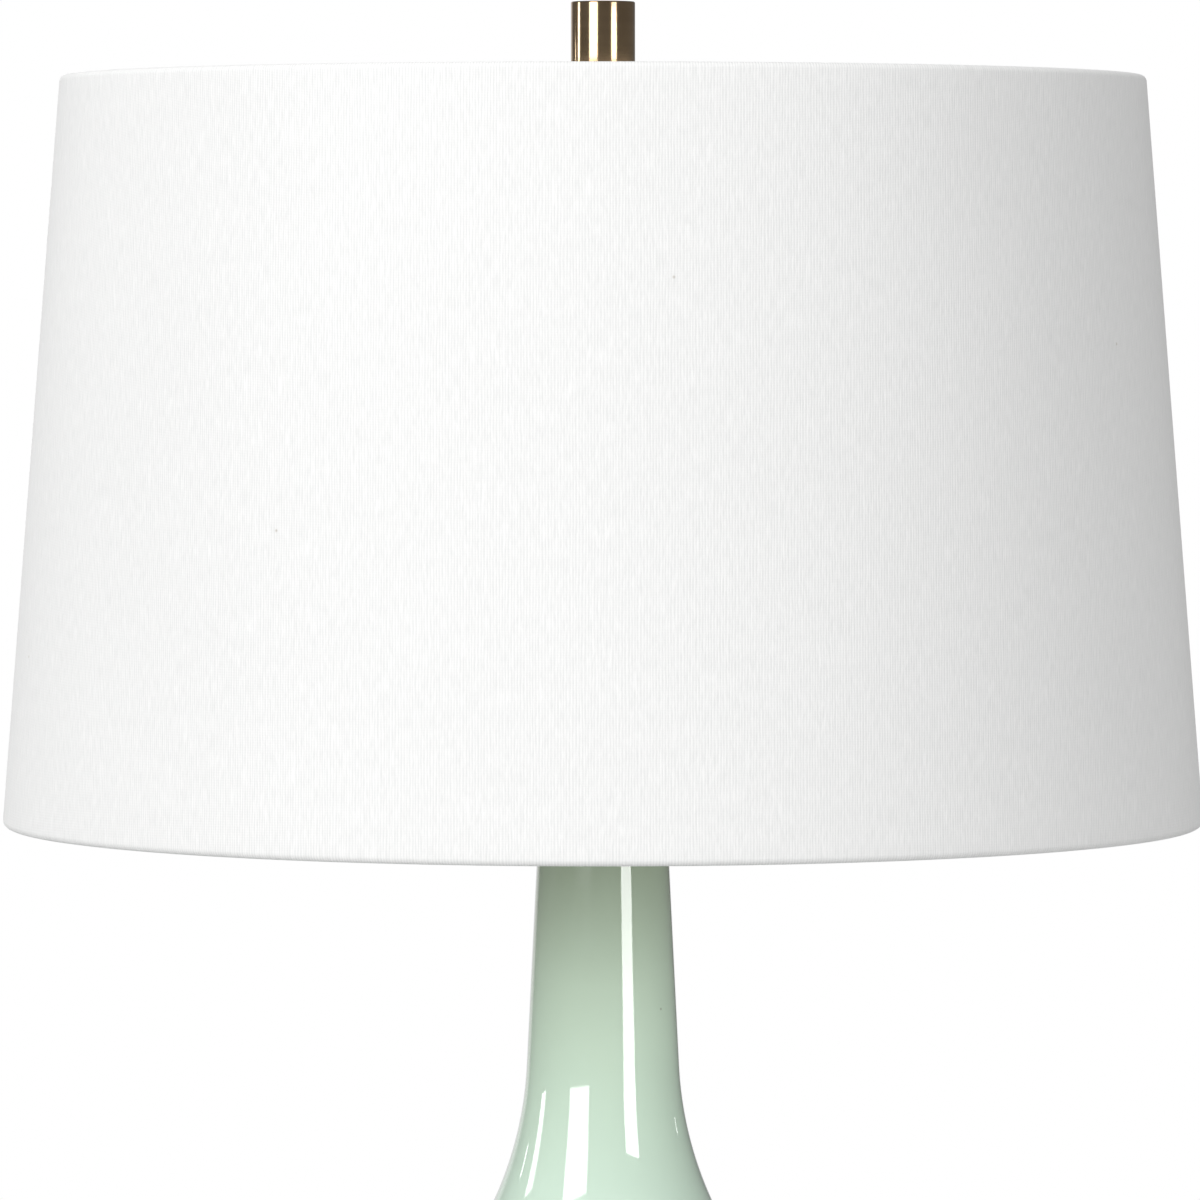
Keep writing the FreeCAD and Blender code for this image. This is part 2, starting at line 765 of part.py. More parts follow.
def make_bulb():
    cone_level = f"{contact_top} + tip_height"
    screw_level = f"{cone_level} + bulb_cone_height"
    housing_level = f"{screw_level} + bulb_screw_height"
    globe_level = f"{housing_level} + bulb_housing_height"
    ring("bulb_tip", "0", "tip_radius", "tip_height", level=contact_top)
    turned(
        "bulb_insulator",
        ("0", "0"),
        ("tip_radius", "0"),
        ("bulb_cone_radius", "bulb_cone_height"),
        ("0", "bulb_cone_height"),
        level=cone_level,
    )
    ring("bulb_screw_base", "0", "bulb_screw_radius", "bulb_screw_height", level=screw_level)
    turned(
        "bulb_housing",
        ("0", "0"),
        ("bulb_neck", "0"),
        ("bulb_neck", "tip_height"),
        ("bulb_lip", "bulb_housing_height", "-bulb_flare"),
        ("0", "bulb_housing_height"),
        level=housing_level,
    )
    dome = "globe_height - globe_belly"
    turned(
        "bulb_globe",
        ("0", "0"),
        ("bulb_lip", "0"),
        ("bulb_radius", "globe_belly", "globe_flare"),
        ("0", "globe_height", f"({dome}) / 2 + bulb_radius^2 / (2 * ({dome}))"),
        level=globe_level,
    )


# ---- Shade and finial ---------------------------------------------------------------------------------


def wall_sketch(body, name):
    """A sketch in the plane of the wall's section: Y runs up the wall from the lower ring's centre."""
    sketch = new_sketch(body, name)
    sketch.AttachmentOffset = FreeCAD.Placement(V(0, 0, 0), FreeCAD.Rotation(Z_AXIS, value(roll_lean)))
    sketch.setExpression("AttachmentOffset.Base.x", bound(roll_low_radius))
    sketch.setExpression("AttachmentOffset.Base.y", bound(roll_low_level))
    sketch.setExpression("AttachmentOffset.Rotation.Angle", bound(roll_lean))
    return sketch


def make_shade_walls():
    """Fabric rolled over both rings and tucked in against its liner, as one revolved skin."""
    inner_roll = "(roll_radius - fabric_gauge)"
    liner_face = f"({inner_roll} - liner_gauge)"
    span = roll_span

    liner = new_body("shade_liner")
    strip = wall_sketch(liner, "liner_section")
    low, high = "ring_wire", f"{span} - ring_wire"
    outline(strip, (liner_face, low), (inner_roll, low), (inner_roll, high), (liner_face, high))
    revolve(liner, strip)

    def hem_start(radius):
        return f"-{radius} * cos(hem_turn)", f"{radius} * sin(hem_turn)"

    def hem_end(radius):
        """Where the tuck's face, a tangent of its roll, meets the liner."""
        across = f"({liner_face} + {radius} * cos(hem_turn))"
        return liner_face, f"({radius} * sin(hem_turn) + {across} / tan(hem_turn))"

    def low_and_high(point):
        return point, (point[0], f"{span} - ({point[1]})")

    outer_start, outer_start_high = low_and_high(hem_start("roll_radius"))
    outer_end, outer_end_high = low_and_high(hem_end("roll_radius"))
    inner_start, inner_start_high = low_and_high(hem_start(inner_roll))
    inner_end, inner_end_high = low_and_high(hem_end(inner_roll))
    fabric = new_body("shade_fabric")
    skin = wall_sketch(fabric, "fabric_section")
    outline(
        skin,
        ("roll_radius", "0", "roll_radius"),
        ("roll_radius", span),
        ("0", f"{span} + roll_radius", "roll_radius"),
        (*outer_start_high, "roll_radius"),
        outer_end_high,
        inner_end_high,
        inner_start_high,
        ("0", f"{span} + {inner_roll}", f"-{inner_roll}"),
        (inner_roll, span, f"-{inner_roll}"),
        (inner_roll, "0"),
        ("0", f"-{inner_roll}", f"-{inner_roll}"),
        (*inner_start, f"-{inner_roll}"),
        inner_end,
        outer_end,
        outer_start,
        ("0", "-roll_radius", "roll_radius"),
    )
    revolve(fabric, skin)

    # a slit in the tucked edge lets each arm of the spider through to the ring
    slit = new_sketch(fabric, "arm_slit", "XZ_Plane")
    ring_outline(slit, "0", f"{roll_low_level} + {roll_rise}", "arm_slit")
    slit_cut = pocket(fabric, slit, roll_top_radius)
    slits = fabric.newObject("PartDesign::PolarPattern", "arm_slits")
    slits.Originals = [slit_cut]
    slits.Axis = (origin_item(fabric, "Z_Axis"), [""])
    slits.Angle = 360
    slits.Occurrences = len(ARM_AZIMUTHS)
    fabric.Tip = slits


def make_shade_frame():
    levels = {"low": roll_low_level, "top": f"{roll_low_level} + {roll_rise}"}
    radii = {"low": roll_low_radius, "top": roll_top_radius}
    for name, place in (("shade_bottom_ring", "low"), ("shade_top_ring", "top")):
        wire = doc.addObject("Part::Torus", name)
        wire.Label = name
        wire.setExpression("Radius1", bound(radii[place]))
        wire.setExpression("Radius2", bound("ring_wire"))
        placed(wire, level=levels[place])

    ring("spider_hub", "hub_hole", "hub_radius", "hub_gauge", level=harp_seat)

    # the arms lie on the hub, run level, then rise to the top ring
    low = value(f"{hub_top} + arm_wire")
    high = value(levels["top"])
    end = value(f"{roll_top_radius} - ring_wire")
    points = [V(value("arm_start"), 0, low), V(value("arm_level_reach"), 0, low), V(end, 0, high)]
    path = rounded_path(points, [value("arm_bend")])
    arm = bent_wire(path, points[0], X_AXIS, value("arm_wire"))
    for name, azimuth in ARM_AZIMUTHS.items():
        shaped(name, arm.copy(), angle=azimuth)


def make_finial():
    turned(
        "finial",
        ("finial_bore", "0"),
        ("finial_neck", "0"),
        ("finial_neck", "finial_neck_height"),
        ("finial_radius - finial_bevel", "finial_neck_height"),
        ("finial_radius", "finial_neck_height + finial_bevel"),
        ("finial_radius", "finial_height - finial_edge"),
        ("finial_radius - finial_edge", "finial_height", "finial_edge"),
        ("0", "finial_height"),
        ("0", "finial_bore_depth"),
        ("finial_bore", "finial_bore_depth"),
        level=hub_top,
    )


# ---- Build, check and write ----------------------------------------------------------------------------

make_foot()
make_bottle()
make_neck()
make_saddle()
make_harp()
make_socket()
make_switch()
make_bulb()
make_shade_walls()
make_shade_frame()
make_finial()
doc.recompute()

for item in doc.Objects:
    assert not {"Invalid", "Error"} & set(item.State), f"{item.Name} failed: {item.State}"
    if item.TypeId == "Sketcher::SketchObject":
        assert item.FullyConstrained, f"{item.Name} is not fully constrained"

os.makedirs("parts", exist_ok=True)
for part in subparts:
    assert not part.Shape.isNull() and part.Shape.isValid(), f"{part.Label} has no valid shape"
    part.Shape.exportStep(f"parts/{part.Label}.step")
    box = part.Shape.BoundBox
    print(f"{part.Label:18} z {box.ZMin:7.2f} to {box.ZMax:7.2f}  x {box.XMin:7.2f} to {box.XMax:7.2f}")
print(len(subparts), "sub-parts")
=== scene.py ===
import math

import bpy
import numpy as np
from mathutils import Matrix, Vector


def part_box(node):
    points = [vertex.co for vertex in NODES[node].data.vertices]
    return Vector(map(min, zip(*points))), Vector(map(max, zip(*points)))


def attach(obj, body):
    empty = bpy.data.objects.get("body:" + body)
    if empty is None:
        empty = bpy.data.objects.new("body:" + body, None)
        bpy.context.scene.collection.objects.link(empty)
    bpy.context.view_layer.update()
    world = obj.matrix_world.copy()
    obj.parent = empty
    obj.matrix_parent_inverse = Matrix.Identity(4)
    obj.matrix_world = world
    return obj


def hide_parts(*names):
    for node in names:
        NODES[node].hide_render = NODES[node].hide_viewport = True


# A table lamp: glazed bottle body on a turned brass foot, white linen drum shade, brass finial.
# Metres. The table is z = 0, the lamp's axis is Z, and the photograph is taken from the -Y side.

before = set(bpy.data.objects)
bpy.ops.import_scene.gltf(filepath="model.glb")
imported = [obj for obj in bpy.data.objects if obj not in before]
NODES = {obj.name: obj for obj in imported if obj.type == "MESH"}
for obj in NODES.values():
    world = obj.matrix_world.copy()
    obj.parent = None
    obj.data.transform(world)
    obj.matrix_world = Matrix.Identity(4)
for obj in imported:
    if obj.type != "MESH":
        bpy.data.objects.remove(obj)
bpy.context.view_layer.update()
MM = 0.001


# ---- Camera ------------------------------------------------------------------------------------

LENS = 239.5
CAMERA_PLACE = (-0.0012, -3.2140, 0.6027)
CAMERA_TIP = 2.273


def set_camera():
    """Long lens level with the shade, tipped down a little, on the photograph's side."""
    data = bpy.data.cameras.new("camera")
    data.sensor_width = 36.0
    data.lens = LENS
    data.clip_end = 50.0
    camera = bpy.data.objects.new("camera", data)
    camera.location = CAMERA_PLACE
    camera.rotation_euler = (math.radians(90 - CAMERA_TIP), 0, 0)
    bpy.context.scene.collection.objects.link(camera)
    bpy.context.scene.camera = camera


set_camera()


# ---- Meshes ------------------------------------------------------------------------------------

SHARP_ANGLE = math.radians(38)
MERGE_DIGITS = 7


def make_piece(name, points, faces, material, body, slot, replaces=(), uv=None):
    """A smooth-shaded object from an array of points and an array of faces, riding on a body."""
    mesh = bpy.data.meshes.new(name)
    mesh.from_pydata(points.tolist(), [], faces.tolist())
    if uv is not None:
        mesh.uv_layers.new(name="cloth").data.foreach_set("uv", uv.ravel())
    mesh.polygons.foreach_set("use_smooth", np.ones(len(mesh.polygons), bool))
    mesh.set_sharp_from_angle(angle=SHARP_ANGLE)
    mesh.materials.append(material)
    piece = bpy.data.objects.new(name, mesh)
    bpy.context.scene.collection.objects.link(piece)
    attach(piece, body)
    if replaces:
        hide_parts(*replaces)
    return piece


def joined(points, faces):
    """Merges points whose metres agree to MERGE_DIGITS decimals. Gives the points, the faces, and how
    many of each face's corners have become one with another."""
    keys = np.round(points, MERGE_DIGITS) + 0.0
    kept, index = np.unique(keys, axis=0, return_inverse=True)
    merged = index.reshape(-1)[faces]
    distinct = np.sort(merged, axis=1)
    repeats = (np.diff(distinct, axis=1) == 0).sum(axis=1)
    return kept, merged, repeats


def as_tris(points, quads):
    """Quads as triangles with merged points, so that poles and seams close."""
    triangles = np.concatenate([quads[:, [0, 1, 2]], quads[:, [0, 2, 3]]])
    kept, merged, repeats = joined(points, triangles)
    return kept, merged[repeats == 0]


def outward(points, faces):
    """Turns all triangles round if the volume that they enclose comes out negative."""
    a, b, c = points[faces[:, 0]], points[faces[:, 1]], points[faces[:, 2]]
    volume = np.einsum("ij,ij->i", a, np.cross(b, c)).sum()
    return faces if volume > 0 else faces[:, ::-1]


def grid_quads(rows, columns, close_rows, close_columns):
    """Quads of a grid of points, where a closed side runs back to the first row or column."""
    i = np.arange(rows if close_rows else rows - 1)[:, None]
    j = np.arange(columns if close_columns else columns - 1)[None, :]
    corners = [(i, j), (i + 1, j), (i + 1, j + 1), (i, j + 1)]
    return np.stack([(a % rows) * columns + b % columns for a, b in corners], -1).reshape(-1, 4)


def arc(centre, radius, start, end, steps):
    """Points of a circle's arc: centre plus radius at angles from start to end, in degrees."""
    angle = np.radians(np.linspace(start, end, steps))
    return np.array(centre) + radius * np.stack([np.cos(angle), np.sin(angle)], -1)


def rounded(corners, steps=5):
    """A closed outline of (radius, height, rounding): each corner is cut back by a tangent arc."""
    spots = np.array([corner[:2] for corner in corners], float)
    outline = []
    for k, corner in enumerate(corners):
        bend = corner[2] if len(corner) == 3 else 0.0
        here = spots[k]
        if bend == 0.0:
            outline.append(here[None])
            continue
        back = spots[k - 1] - here
        ahead = spots[(k + 1) % len(spots)] - here
        back = back / np.linalg.norm(back)
        ahead = ahead / np.linalg.norm(ahead)
        half = math.acos(np.clip(back @ ahead, -1, 1)) / 2
        inner = (back + ahead) / np.linalg.norm(back + ahead)
        centre = here + inner * bend / math.sin(half)
        first = here + back * bend / math.tan(half) - centre
        last = here + ahead * bend / math.tan(half) - centre
        share = np.linspace(0, 1, steps)[:, None]
        spread = math.acos(np.clip(first @ last / bend**2, -1, 1))
        turned = np.sin((1 - share) * spread) * first + np.sin(share * spread) * last
        outline.append(centre + turned / math.sin(spread))
    return np.concatenate(outline)


def lathe(outline, columns=96, ripple=None):
    """A closed outline of radius and height swept round Z: x and y are the radius times the angle's
    cosine and sine. ripple(angle, height) scales the radius."""
    angle = np.linspace(0, 2 * np.pi, columns, endpoint=False)[None, :]
    radius = np.maximum(outline[:, :1], 0.0) * np.ones_like(angle)
    height = outline[:, 1:] * np.ones_like(angle)
    if ripple is not None:
        radius = radius * ripple(angle, height)
    points = np.stack([radius * np.cos(angle), radius * np.sin(angle), height], -1).reshape(-1, 3)
    points, triangles = as_tris(points, grid_quads(len(outline), columns, True, True))
    return points, outward(points, triangles)


def threaded(core, crest, pitch, low, high, columns=40, rows_per_turn=10):
    """A screw: the radius swings from core to crest as a rounded wave of height less turn, and the
    swing dies away over a little more than half a pitch at both ends."""
    run_out = 0.6 * pitch
    rows = int((high - low) / pitch * rows_per_turn) + 1
    height = np.linspace(low, high, rows)[:, None]
    angle = np.linspace(0, 2 * np.pi, columns, endpoint=False)[None, :]
    wave = 0.5 + 0.5 * np.cos(2 * np.pi * height / pitch - angle)
    fade = np.clip(np.minimum(height - low, high - height) / run_out, 0, 1)
    radius = core + (crest - core) * wave * fade
    side = np.stack([radius * np.cos(angle), radius * np.sin(angle), height + 0 * angle], -1)
    cap = np.zeros((1, columns, 3))
    points = np.concatenate([cap + [0, 0, low], side, cap + [0, 0, high]]).reshape(-1, 3)
    points, triangles = as_tris(points, grid_quads(rows + 2, columns, False, True))
    return points, outward(points, triangles)


def forwards(shape, level):
    """Turns a shape made about Z so that its own Z points along -Y, at a level above the table."""
    points, faces = shape
    return np.stack([points[:, 0], -points[:, 2], points[:, 1] + level], -1), faces


def combined(*shapes):
    """Several shapes as one, each with its own points."""
    starts = np.cumsum([0] + [len(points) for points, _ in shapes])
    faces = [face + start for (_, face), start in zip(shapes, starts)]
    return np.concatenate([points for points, _ in shapes]), np.concatenate(faces)


def smoothed(node):
    """A CAD node's loose triangles with their corners joined, so that curved faces shade smoothly."""
    mesh = NODES[node].data
    points = np.empty(len(mesh.vertices) * 3)
    mesh.vertices.foreach_get("co", points)
    corners = np.empty(len(mesh.loops), int)
    mesh.loops.foreach_get("vertex_index", corners)
    kept, merged, repeats = joined(points.reshape(-1, 3), corners.reshape(-1, 3))
    return kept, merged[repeats == 0]


# ---- Materials ---------------------------------------------------------------------------------


def new_material(name):
    material = bpy.data.materials.new(name)
    material.use_nodes = True
    tree = material.node_tree
    return material, tree, tree.nodes["Principled BSDF"]


def add(tree, kind, inputs=None, **settings):
    """Adds a node, sets its properties, and sets or links each named or numbered input."""
    node = tree.nodes.new("ShaderNode" + kind)
    for key, setting in settings.items():
        setattr(node, key, setting)
    for key, source in (inputs or {}).items():
        connect(tree, source, node.inputs[key])
    return node


def connect(tree, source, socket):
    if isinstance(source, bpy.types.NodeSocket):
        tree.links.new(source, socket)
    else:
        socket.default_value = source


def finish_shader(tree, shader, **inputs):
    """Sets or links the shader's inputs, written with underscores for the spaces in their names."""
    for key, source in inputs.items():
        connect(tree, source, shader.inputs[key.replace("_", " ")])


def maths(tree, operation, a, b=0.0):
    return add(tree, "Math", {0: a, 1: b}, operation=operation).outputs[0]


def weighted_sum(tree, *parts):
    """The sum of patterns, each given as (pattern, weight)."""
    total, *others = [maths(tree, "MULTIPLY", pattern, weight) for pattern, weight in parts]
    for part in others:
        total = maths(tree, "ADD", total, part)
    return total


def mixed(tree, share, base, over):
    """Two colours or greys mixed: the Mix node's colour form, with its sockets 0, 6 and 7."""
    return add(tree, "Mix", {0: share, 6: base, 7: over}, data_type="RGBA").outputs[2]


def tinted(tree, base, over):
    """A colour multiplied by another, in the same node."""
    sockets = {0: 1.0, 6: base, 7: over}
    return add(tree, "Mix", sockets, data_type="RGBA", blend_type="MULTIPLY").outputs[2]


def stretched(tree, place, scale):
    """A place for a pattern, with each axis scaled."""
    return add(tree, "Mapping", {"Vector": place, "Scale": scale}).outputs[0]


def object_place(tree, scale=(1, 1, 1)):
    return stretched(tree, add(tree, "TexCoord").outputs["Object"], scale)


def noise(tree, place, scale, detail=3.0, roughness=0.5):
    inputs = {"Vector": place, "Scale": scale, "Detail": detail, "Roughness": roughness}
    return add(tree, "TexNoise", inputs).outputs["Fac"]


def ramp(tree, factor, *stops):
    """A colour ramp with stops of (position, colour)."""
    node = add(tree, "ValToRGB", {"Fac": factor})
    elements = node.color_ramp.elements
    while len(elements) < len(stops):
        elements.new(0.5)
    for element, (position, colour) in zip(elements, stops):
        element.position = position
        element.color = (*colour, 1.0)
    return node.outputs["Color"]


def shader_mix(tree, share, first, second):
    """A node that mixes the shaders of two others."""
    return add(tree, "MixShader", {0: share, 1: first.outputs[0], 2: second.outputs[0]})


def span_of(tree, factor, low, high):
    """Spreads a factor of 0 to 1 over a range."""
    return add(tree, "MapRange", {"Value": factor, "To Min": low, "To Max": high}).outputs[0]


def smooth_rise(tree, factor, start, end):
    """0 below start, 1 above end, and a smooth step between them."""
    inputs = {"Value": factor, "From Min": start, "From Max": end}
    return add(tree, "MapRange", inputs, interpolation_type="SMOOTHSTEP").outputs[0]


def bump(tree, height, distance, strength):
    return add(tree, "Bump", {"Height": height, "Distance": distance, "Strength": strength}).outputs[0]


CLOTH_RIB_PITCH = 1.15 * MM
CLOTH_THREAD_PITCH = 0.62 * MM
CLOTH_RIB_WANDER = 6.0


def shade_linen():
    """Plain-woven white linen: upright ribs of uneven yarn, finer cross threads and a few slubs, with
    a very few dark flecks. Its UV map is the flat cut in metres, so patterns scale per metre of
    cloth, across it and along it."""
    material, tree, shader = new_material("white_linen")
    cloth = add(tree, "UVMap", uv_map="cloth").outputs[0]
    across, along, _ = add(tree, "SeparateXYZ", {0: cloth}).outputs

    def cloth_noise(scale, *settings):
        return noise(tree, stretched(tree, cloth, (*scale, 1)), 1.0, *settings)

    wander = maths(tree, "MULTIPLY", cloth_noise((260, 22), 2.0), CLOTH_RIB_WANDER)
    rib_turn = maths(tree, "MULTIPLY", across, 2 * math.pi / CLOTH_RIB_PITCH)
    rib = maths(tree, "SINE", maths(tree, "ADD", rib_turn, wander))
    thread = maths(tree, "SINE", maths(tree, "MULTIPLY", along, 2 * math.pi / CLOTH_THREAD_PITCH))
    yarn = cloth_noise((1400, 140), 3.0, 0.7)
    slub = ramp(tree, cloth_noise((620, 70), 1.0), (0.62, (0, 0, 0)), (0.74, (1, 1, 1)))
    weave = weighted_sum(tree, (rib, 0.22), (thread, 0.09), (yarn, 1.4), (slub, 0.25))

    # The tone is darker where the weave is low: partly the yarn's own uneven tone, partly painted shade
    # between ribs and threads.
    tone = ramp(tree, weave, (0.35, (0.78, 0.785, 0.78)), (1.0, (0.905, 0.905, 0.90)))
    cloudy = noise(tree, object_place(tree), 9.0, 2.0)
    tint = ramp(tree, cloudy, (0.3, (0.985, 0.985, 0.985)), (0.7, (1.0, 1.0, 1.0)))
    fleck_place = stretched(tree, cloth, (5.2, 5.0, 1))
    fleck = add(tree, "TexVoronoi", {"Vector": fleck_place, "Scale": 1.0}, voronoi_dimensions="2D")
    fleck = ramp(tree, fleck.outputs["Distance"], (0.0018, (0.66, 0.62, 0.56)), (0.0040, (1, 1, 1)))
    finish_shader(
        tree,
        shader,
        Base_Color=tinted(tree, tinted(tree, tone, tint), fleck),
        Roughness=0.92,
        Specular_IOR_Level=0.15,
        Sheen_Weight=0.12,
        Sheen_Roughness=0.6,
        Normal=bump(tree, weave, 0.12 * MM, 0.5),
    )
    return material


CLAY_LINE = 1.2 * MM


def celadon_glaze():
    """Glossy grey-green glaze with painted shade: by height, painted darker and more olive up the neck as
    the shadow under the lampshade, and paler and mintier over the shoulder. It has cloudy tone, a few
    iron specks, faint waves, and bare clay under the foot ring. Its colours are set by the height above
    the table in metres, which the cloudiness shifts a little."""
    material, tree, shader = new_material("celadon_glaze")
    place = object_place(tree)
    height = add(tree, "SeparateXYZ", {0: place}).outputs[2]
    cloudy = noise(tree, place, 11.0, 5.0, 0.55)
    # The height ramp below is painted shade: darker and more olive towards the lampshade's shadow at the
    # neck's top, paler and mintier lower down.
    run = maths(tree, "ADD", height, maths(tree, "MULTIPLY", cloudy, 0.03))
    glaze = ramp(
        tree,
        run,
        (0.10, (0.620, 0.790, 0.665)),
        (0.24, (0.685, 0.860, 0.725)),
        (0.29, (0.705, 0.885, 0.720)),
        (0.34, (0.685, 0.845, 0.670)),
        (0.39, (0.495, 0.595, 0.435)),
    )
    mottle = ramp(tree, cloudy, (0.30, (0.96, 0.965, 0.97)), (0.70, (1.0, 1.0, 1.0)))
    glaze = tinted(tree, glaze, mottle)
    spots = add(tree, "TexVoronoi", {"Vector": place, "Scale": 26.0})
    speck = ramp(tree, spots.outputs["Distance"], (0.012, (0.34, 0.31, 0.26)), (0.022, (1, 1, 1)))
    speckled = tinted(tree, glaze, speck)
    bare = maths(tree, "LESS_THAN", height, BOTTLE_LEVEL + CLAY_LINE)
    grain = noise(tree, place, 900.0, 4.0)
    clay = ramp(tree, grain, (0.3, (0.50, 0.42, 0.33)), (0.7, (0.62, 0.54, 0.44)))
    waves = noise(tree, place, 38.0, 2.0)
    pits = noise(tree, place, 420.0, 2.0)
    surface = maths(tree, "ADD", waves, maths(tree, "MULTIPLY", pits, 0.02))
    finish_shader(
        tree,
        shader,
        Base_Color=mixed(tree, bare, speckled, clay),
        Roughness=span_of(tree, bare, 0.06, 0.85),
        IOR=1.5,
        Coat_Weight=1.0,
        Coat_Roughness=0.03,
        Normal=bump(tree, surface, 0.5 * MM, 0.30),
    )
    return material


def brushed_brass(name, dark, light, roughness, grooves=5200.0):
    """Lacquered brass, brushed on a lathe: fine grooves round the axis, which spread its gloss up and
    down, over a cloudy patina, duller where darker."""
    material, tree, shader = new_material(name)
    fine = noise(tree, object_place(tree, (6, 6, grooves)), 1.0, 2.0, 0.7)
    broad = noise(tree, object_place(tree, (3, 3, 420)), 1.0, 2.0)
    patina = noise(tree, object_place(tree), 60.0, 5.0, 0.6)
    lines = weighted_sum(tree, (fine, 0.6), (broad, 0.4))
    aged = weighted_sum(tree, (lines, 0.55), (patina, 0.45))
    finish_shader(
        tree,
        shader,
        Base_Color=ramp(tree, aged, (0.35, dark), (0.62, light)),
        Metallic=1.0,
        Roughness=span_of(tree, aged, roughness + 0.07, roughness - 0.05),
        Anisotropic=0.5,
        Anisotropic_Rotation=0.25,
        Tangent=add(tree, "Tangent", direction_type="RADIAL", axis="Z").outputs[0],
        Coat_Weight=0.3,
        Coat_Roughness=0.06,
        Normal=bump(tree, lines, 0.02 * MM, 0.3),
    )
    return material


def plain_metal(name, dark, light, roughness, scale=220.0):
    """Plated or drawn metal: a little uneven in tone and gloss, with fine handling marks."""
    material, tree, shader = new_material(name)
    cloudy = noise(tree, object_place(tree), scale, 4.0, 0.6)
    marks = noise(tree, object_place(tree, (1, 1, 0.15)), 2600.0, 2.0)
    finish_shader(
        tree,
        shader,
        Base_Color=ramp(tree, cloudy, (0.35, dark), (0.65, light)),
        Metallic=1.0,
        Roughness=span_of(tree, cloudy, roughness - 0.05, roughness + 0.08),
        Normal=bump(tree, marks, 0.02 * MM, 0.25),
    )
    return material


def moulded(name, dark, light, roughness, grain=1500.0, depth=0.03, coat=0.0):
    """Moulded plastic, rubber or enamel: faint mottling and a fine moulded grain."""
    material, tree, shader = new_material(name)
    mottle = noise(tree, object_place(tree), 120.0, 3.0)
    texture = noise(tree, object_place(tree), grain, 3.0)
    finish_shader(
        tree,
        shader,
        Base_Color=ramp(tree, mottle, (0.3, dark), (0.7, light)),
        Roughness=span_of(tree, mottle, roughness - 0.04, roughness + 0.06),
        Coat_Weight=coat,
        Coat_Roughness=0.08,
        Normal=bump(tree, texture, depth * MM, 0.4),
    )
    return material


def fibrous(name, dark, light, scale, depth, sheen=0.3):
    """Felt, cork or card: speckled fibres or grains with a rough, matt surface."""
    material, tree, shader = new_material(name)
    fibre = noise(tree, object_place(tree), scale, 6.0, 0.7)
    finish_shader(
        tree,
        shader,
        Base_Color=ramp(tree, fibre, (0.35, dark), (0.65, light)),
        Roughness=0.95,
        Specular_IOR_Level=0.1,
        Sheen_Weight=sheen,
        Normal=bump(tree, fibre, depth * MM, 0.8),
    )
    return material


def frosted_globe():
    """White diffusing polycarbonate: softly glossy, a little light passes through."""
    material, tree, shader = new_material("frosted_globe")
    haze = noise(tree, object_place(tree), 300.0, 3.0)
    finish_shader(
        tree,
        shader,
        Base_Color=ramp(tree, haze, (0.3, (0.86, 0.86, 0.84)), (0.7, (0.90, 0.90, 0.885))),
        Roughness=span_of(tree, haze, 0.28, 0.36),
        Subsurface_Weight=0.25,
        Subsurface_Radius=(0.004, 0.004, 0.004),
        Normal=bump(tree, haze, 0.01 * MM, 0.3),
    )
    return material


BOTTLE_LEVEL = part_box("ceramic_body")[0].z

LINEN = shade_linen()
GLAZE = celadon_glaze()
ANTIQUE = brushed_brass("antique_brass", (0.43, 0.295, 0.170), (0.63, 0.455, 0.275), 0.13)
HARDWARE = plain_metal("brass_hardware", (0.52, 0.39, 0.19), (0.66, 0.50, 0.25), 0.30)
BRIGHT = brushed_brass("bright_brass", (0.66, 0.50, 0.24), (0.80, 0.63, 0.33), 0.20, 3000.0)
ZINC = plain_metal("zinc_steel", (0.50, 0.50, 0.49), (0.66, 0.66, 0.64), 0.36)
NICKEL = plain_metal("nickel_shell", (0.60, 0.59, 0.56), (0.76, 0.75, 0.72), 0.24)
ALUMINIUM = plain_metal("socket_aluminium", (0.66, 0.66, 0.66), (0.80, 0.80, 0.80), 0.30)
NYLON = moulded("black_nylon", (0.018, 0.018, 0.019), (0.030, 0.030, 0.031), 0.42)
RUBBER = moulded("black_rubber", (0.018, 0.018, 0.018), (0.032, 0.031, 0.030), 0.75)
PHENOLIC = moulded("phenolic", (0.030, 0.026, 0.022), (0.050, 0.044, 0.038), 0.35)
KNOB_BLACK = moulded("black_phenolic", (0.012, 0.012, 0.012), (0.022, 0.021, 0.020), 0.22, coat=0.3)
DARK_GLASS = moulded("black_glass", (0.010, 0.010, 0.011), (0.020, 0.020, 0.022), 0.12)
ENAMEL = moulded("white_enamel", (0.80, 0.80, 0.78), (0.86, 0.86, 0.84), 0.24, 900.0, 0.05, 0.4)
STYRENE = moulded("white_styrene", (0.86, 0.86, 0.845), (0.90, 0.90, 0.89), 0.50, 700.0, 0.04)
HOUSING = moulded("white_plastic", (0.82, 0.82, 0.81), (0.87, 0.87, 0.86), 0.40)
GLOBE = frosted_globe()
FELT = fibrous("green_felt", (0.045, 0.062, 0.045), (0.10, 0.125, 0.095), 1600.0, 0.4, 0.6)
CORK = fibrous("cork", (0.28, 0.17, 0.09), (0.52, 0.37, 0.23), 520.0, 0.3, 0.0)
CARD = fibrous("insulating_card", (0.24, 0.16, 0.09), (0.36, 0.26, 0.16), 900.0, 0.1, 0.0)


# ---- Bottle ------------------------------------------------------------------------------------

# The foot's upper edge and the belly, as radius and height over the bottle's own underside; then the
# arcs' radii, the turns in degrees and the wall.
BOTTLE_FOOT = (60.0 * MM, 5.8 * MM)
BELLY = (120.0 * MM, 81.6 * MM)
SHOULDER_ARC = 100.7 * MM
SHOULDER_TURN = 50.0
HOLLOW_ARC = 149.6 * MM
NECK_LEAN = 2.86
BOTTLE_WALL = 6.0 * MM
INNER_START = math.degrees(math.asin(0.985))
BOTTLE_COLUMNS = 256
ARC_STEPS = 48


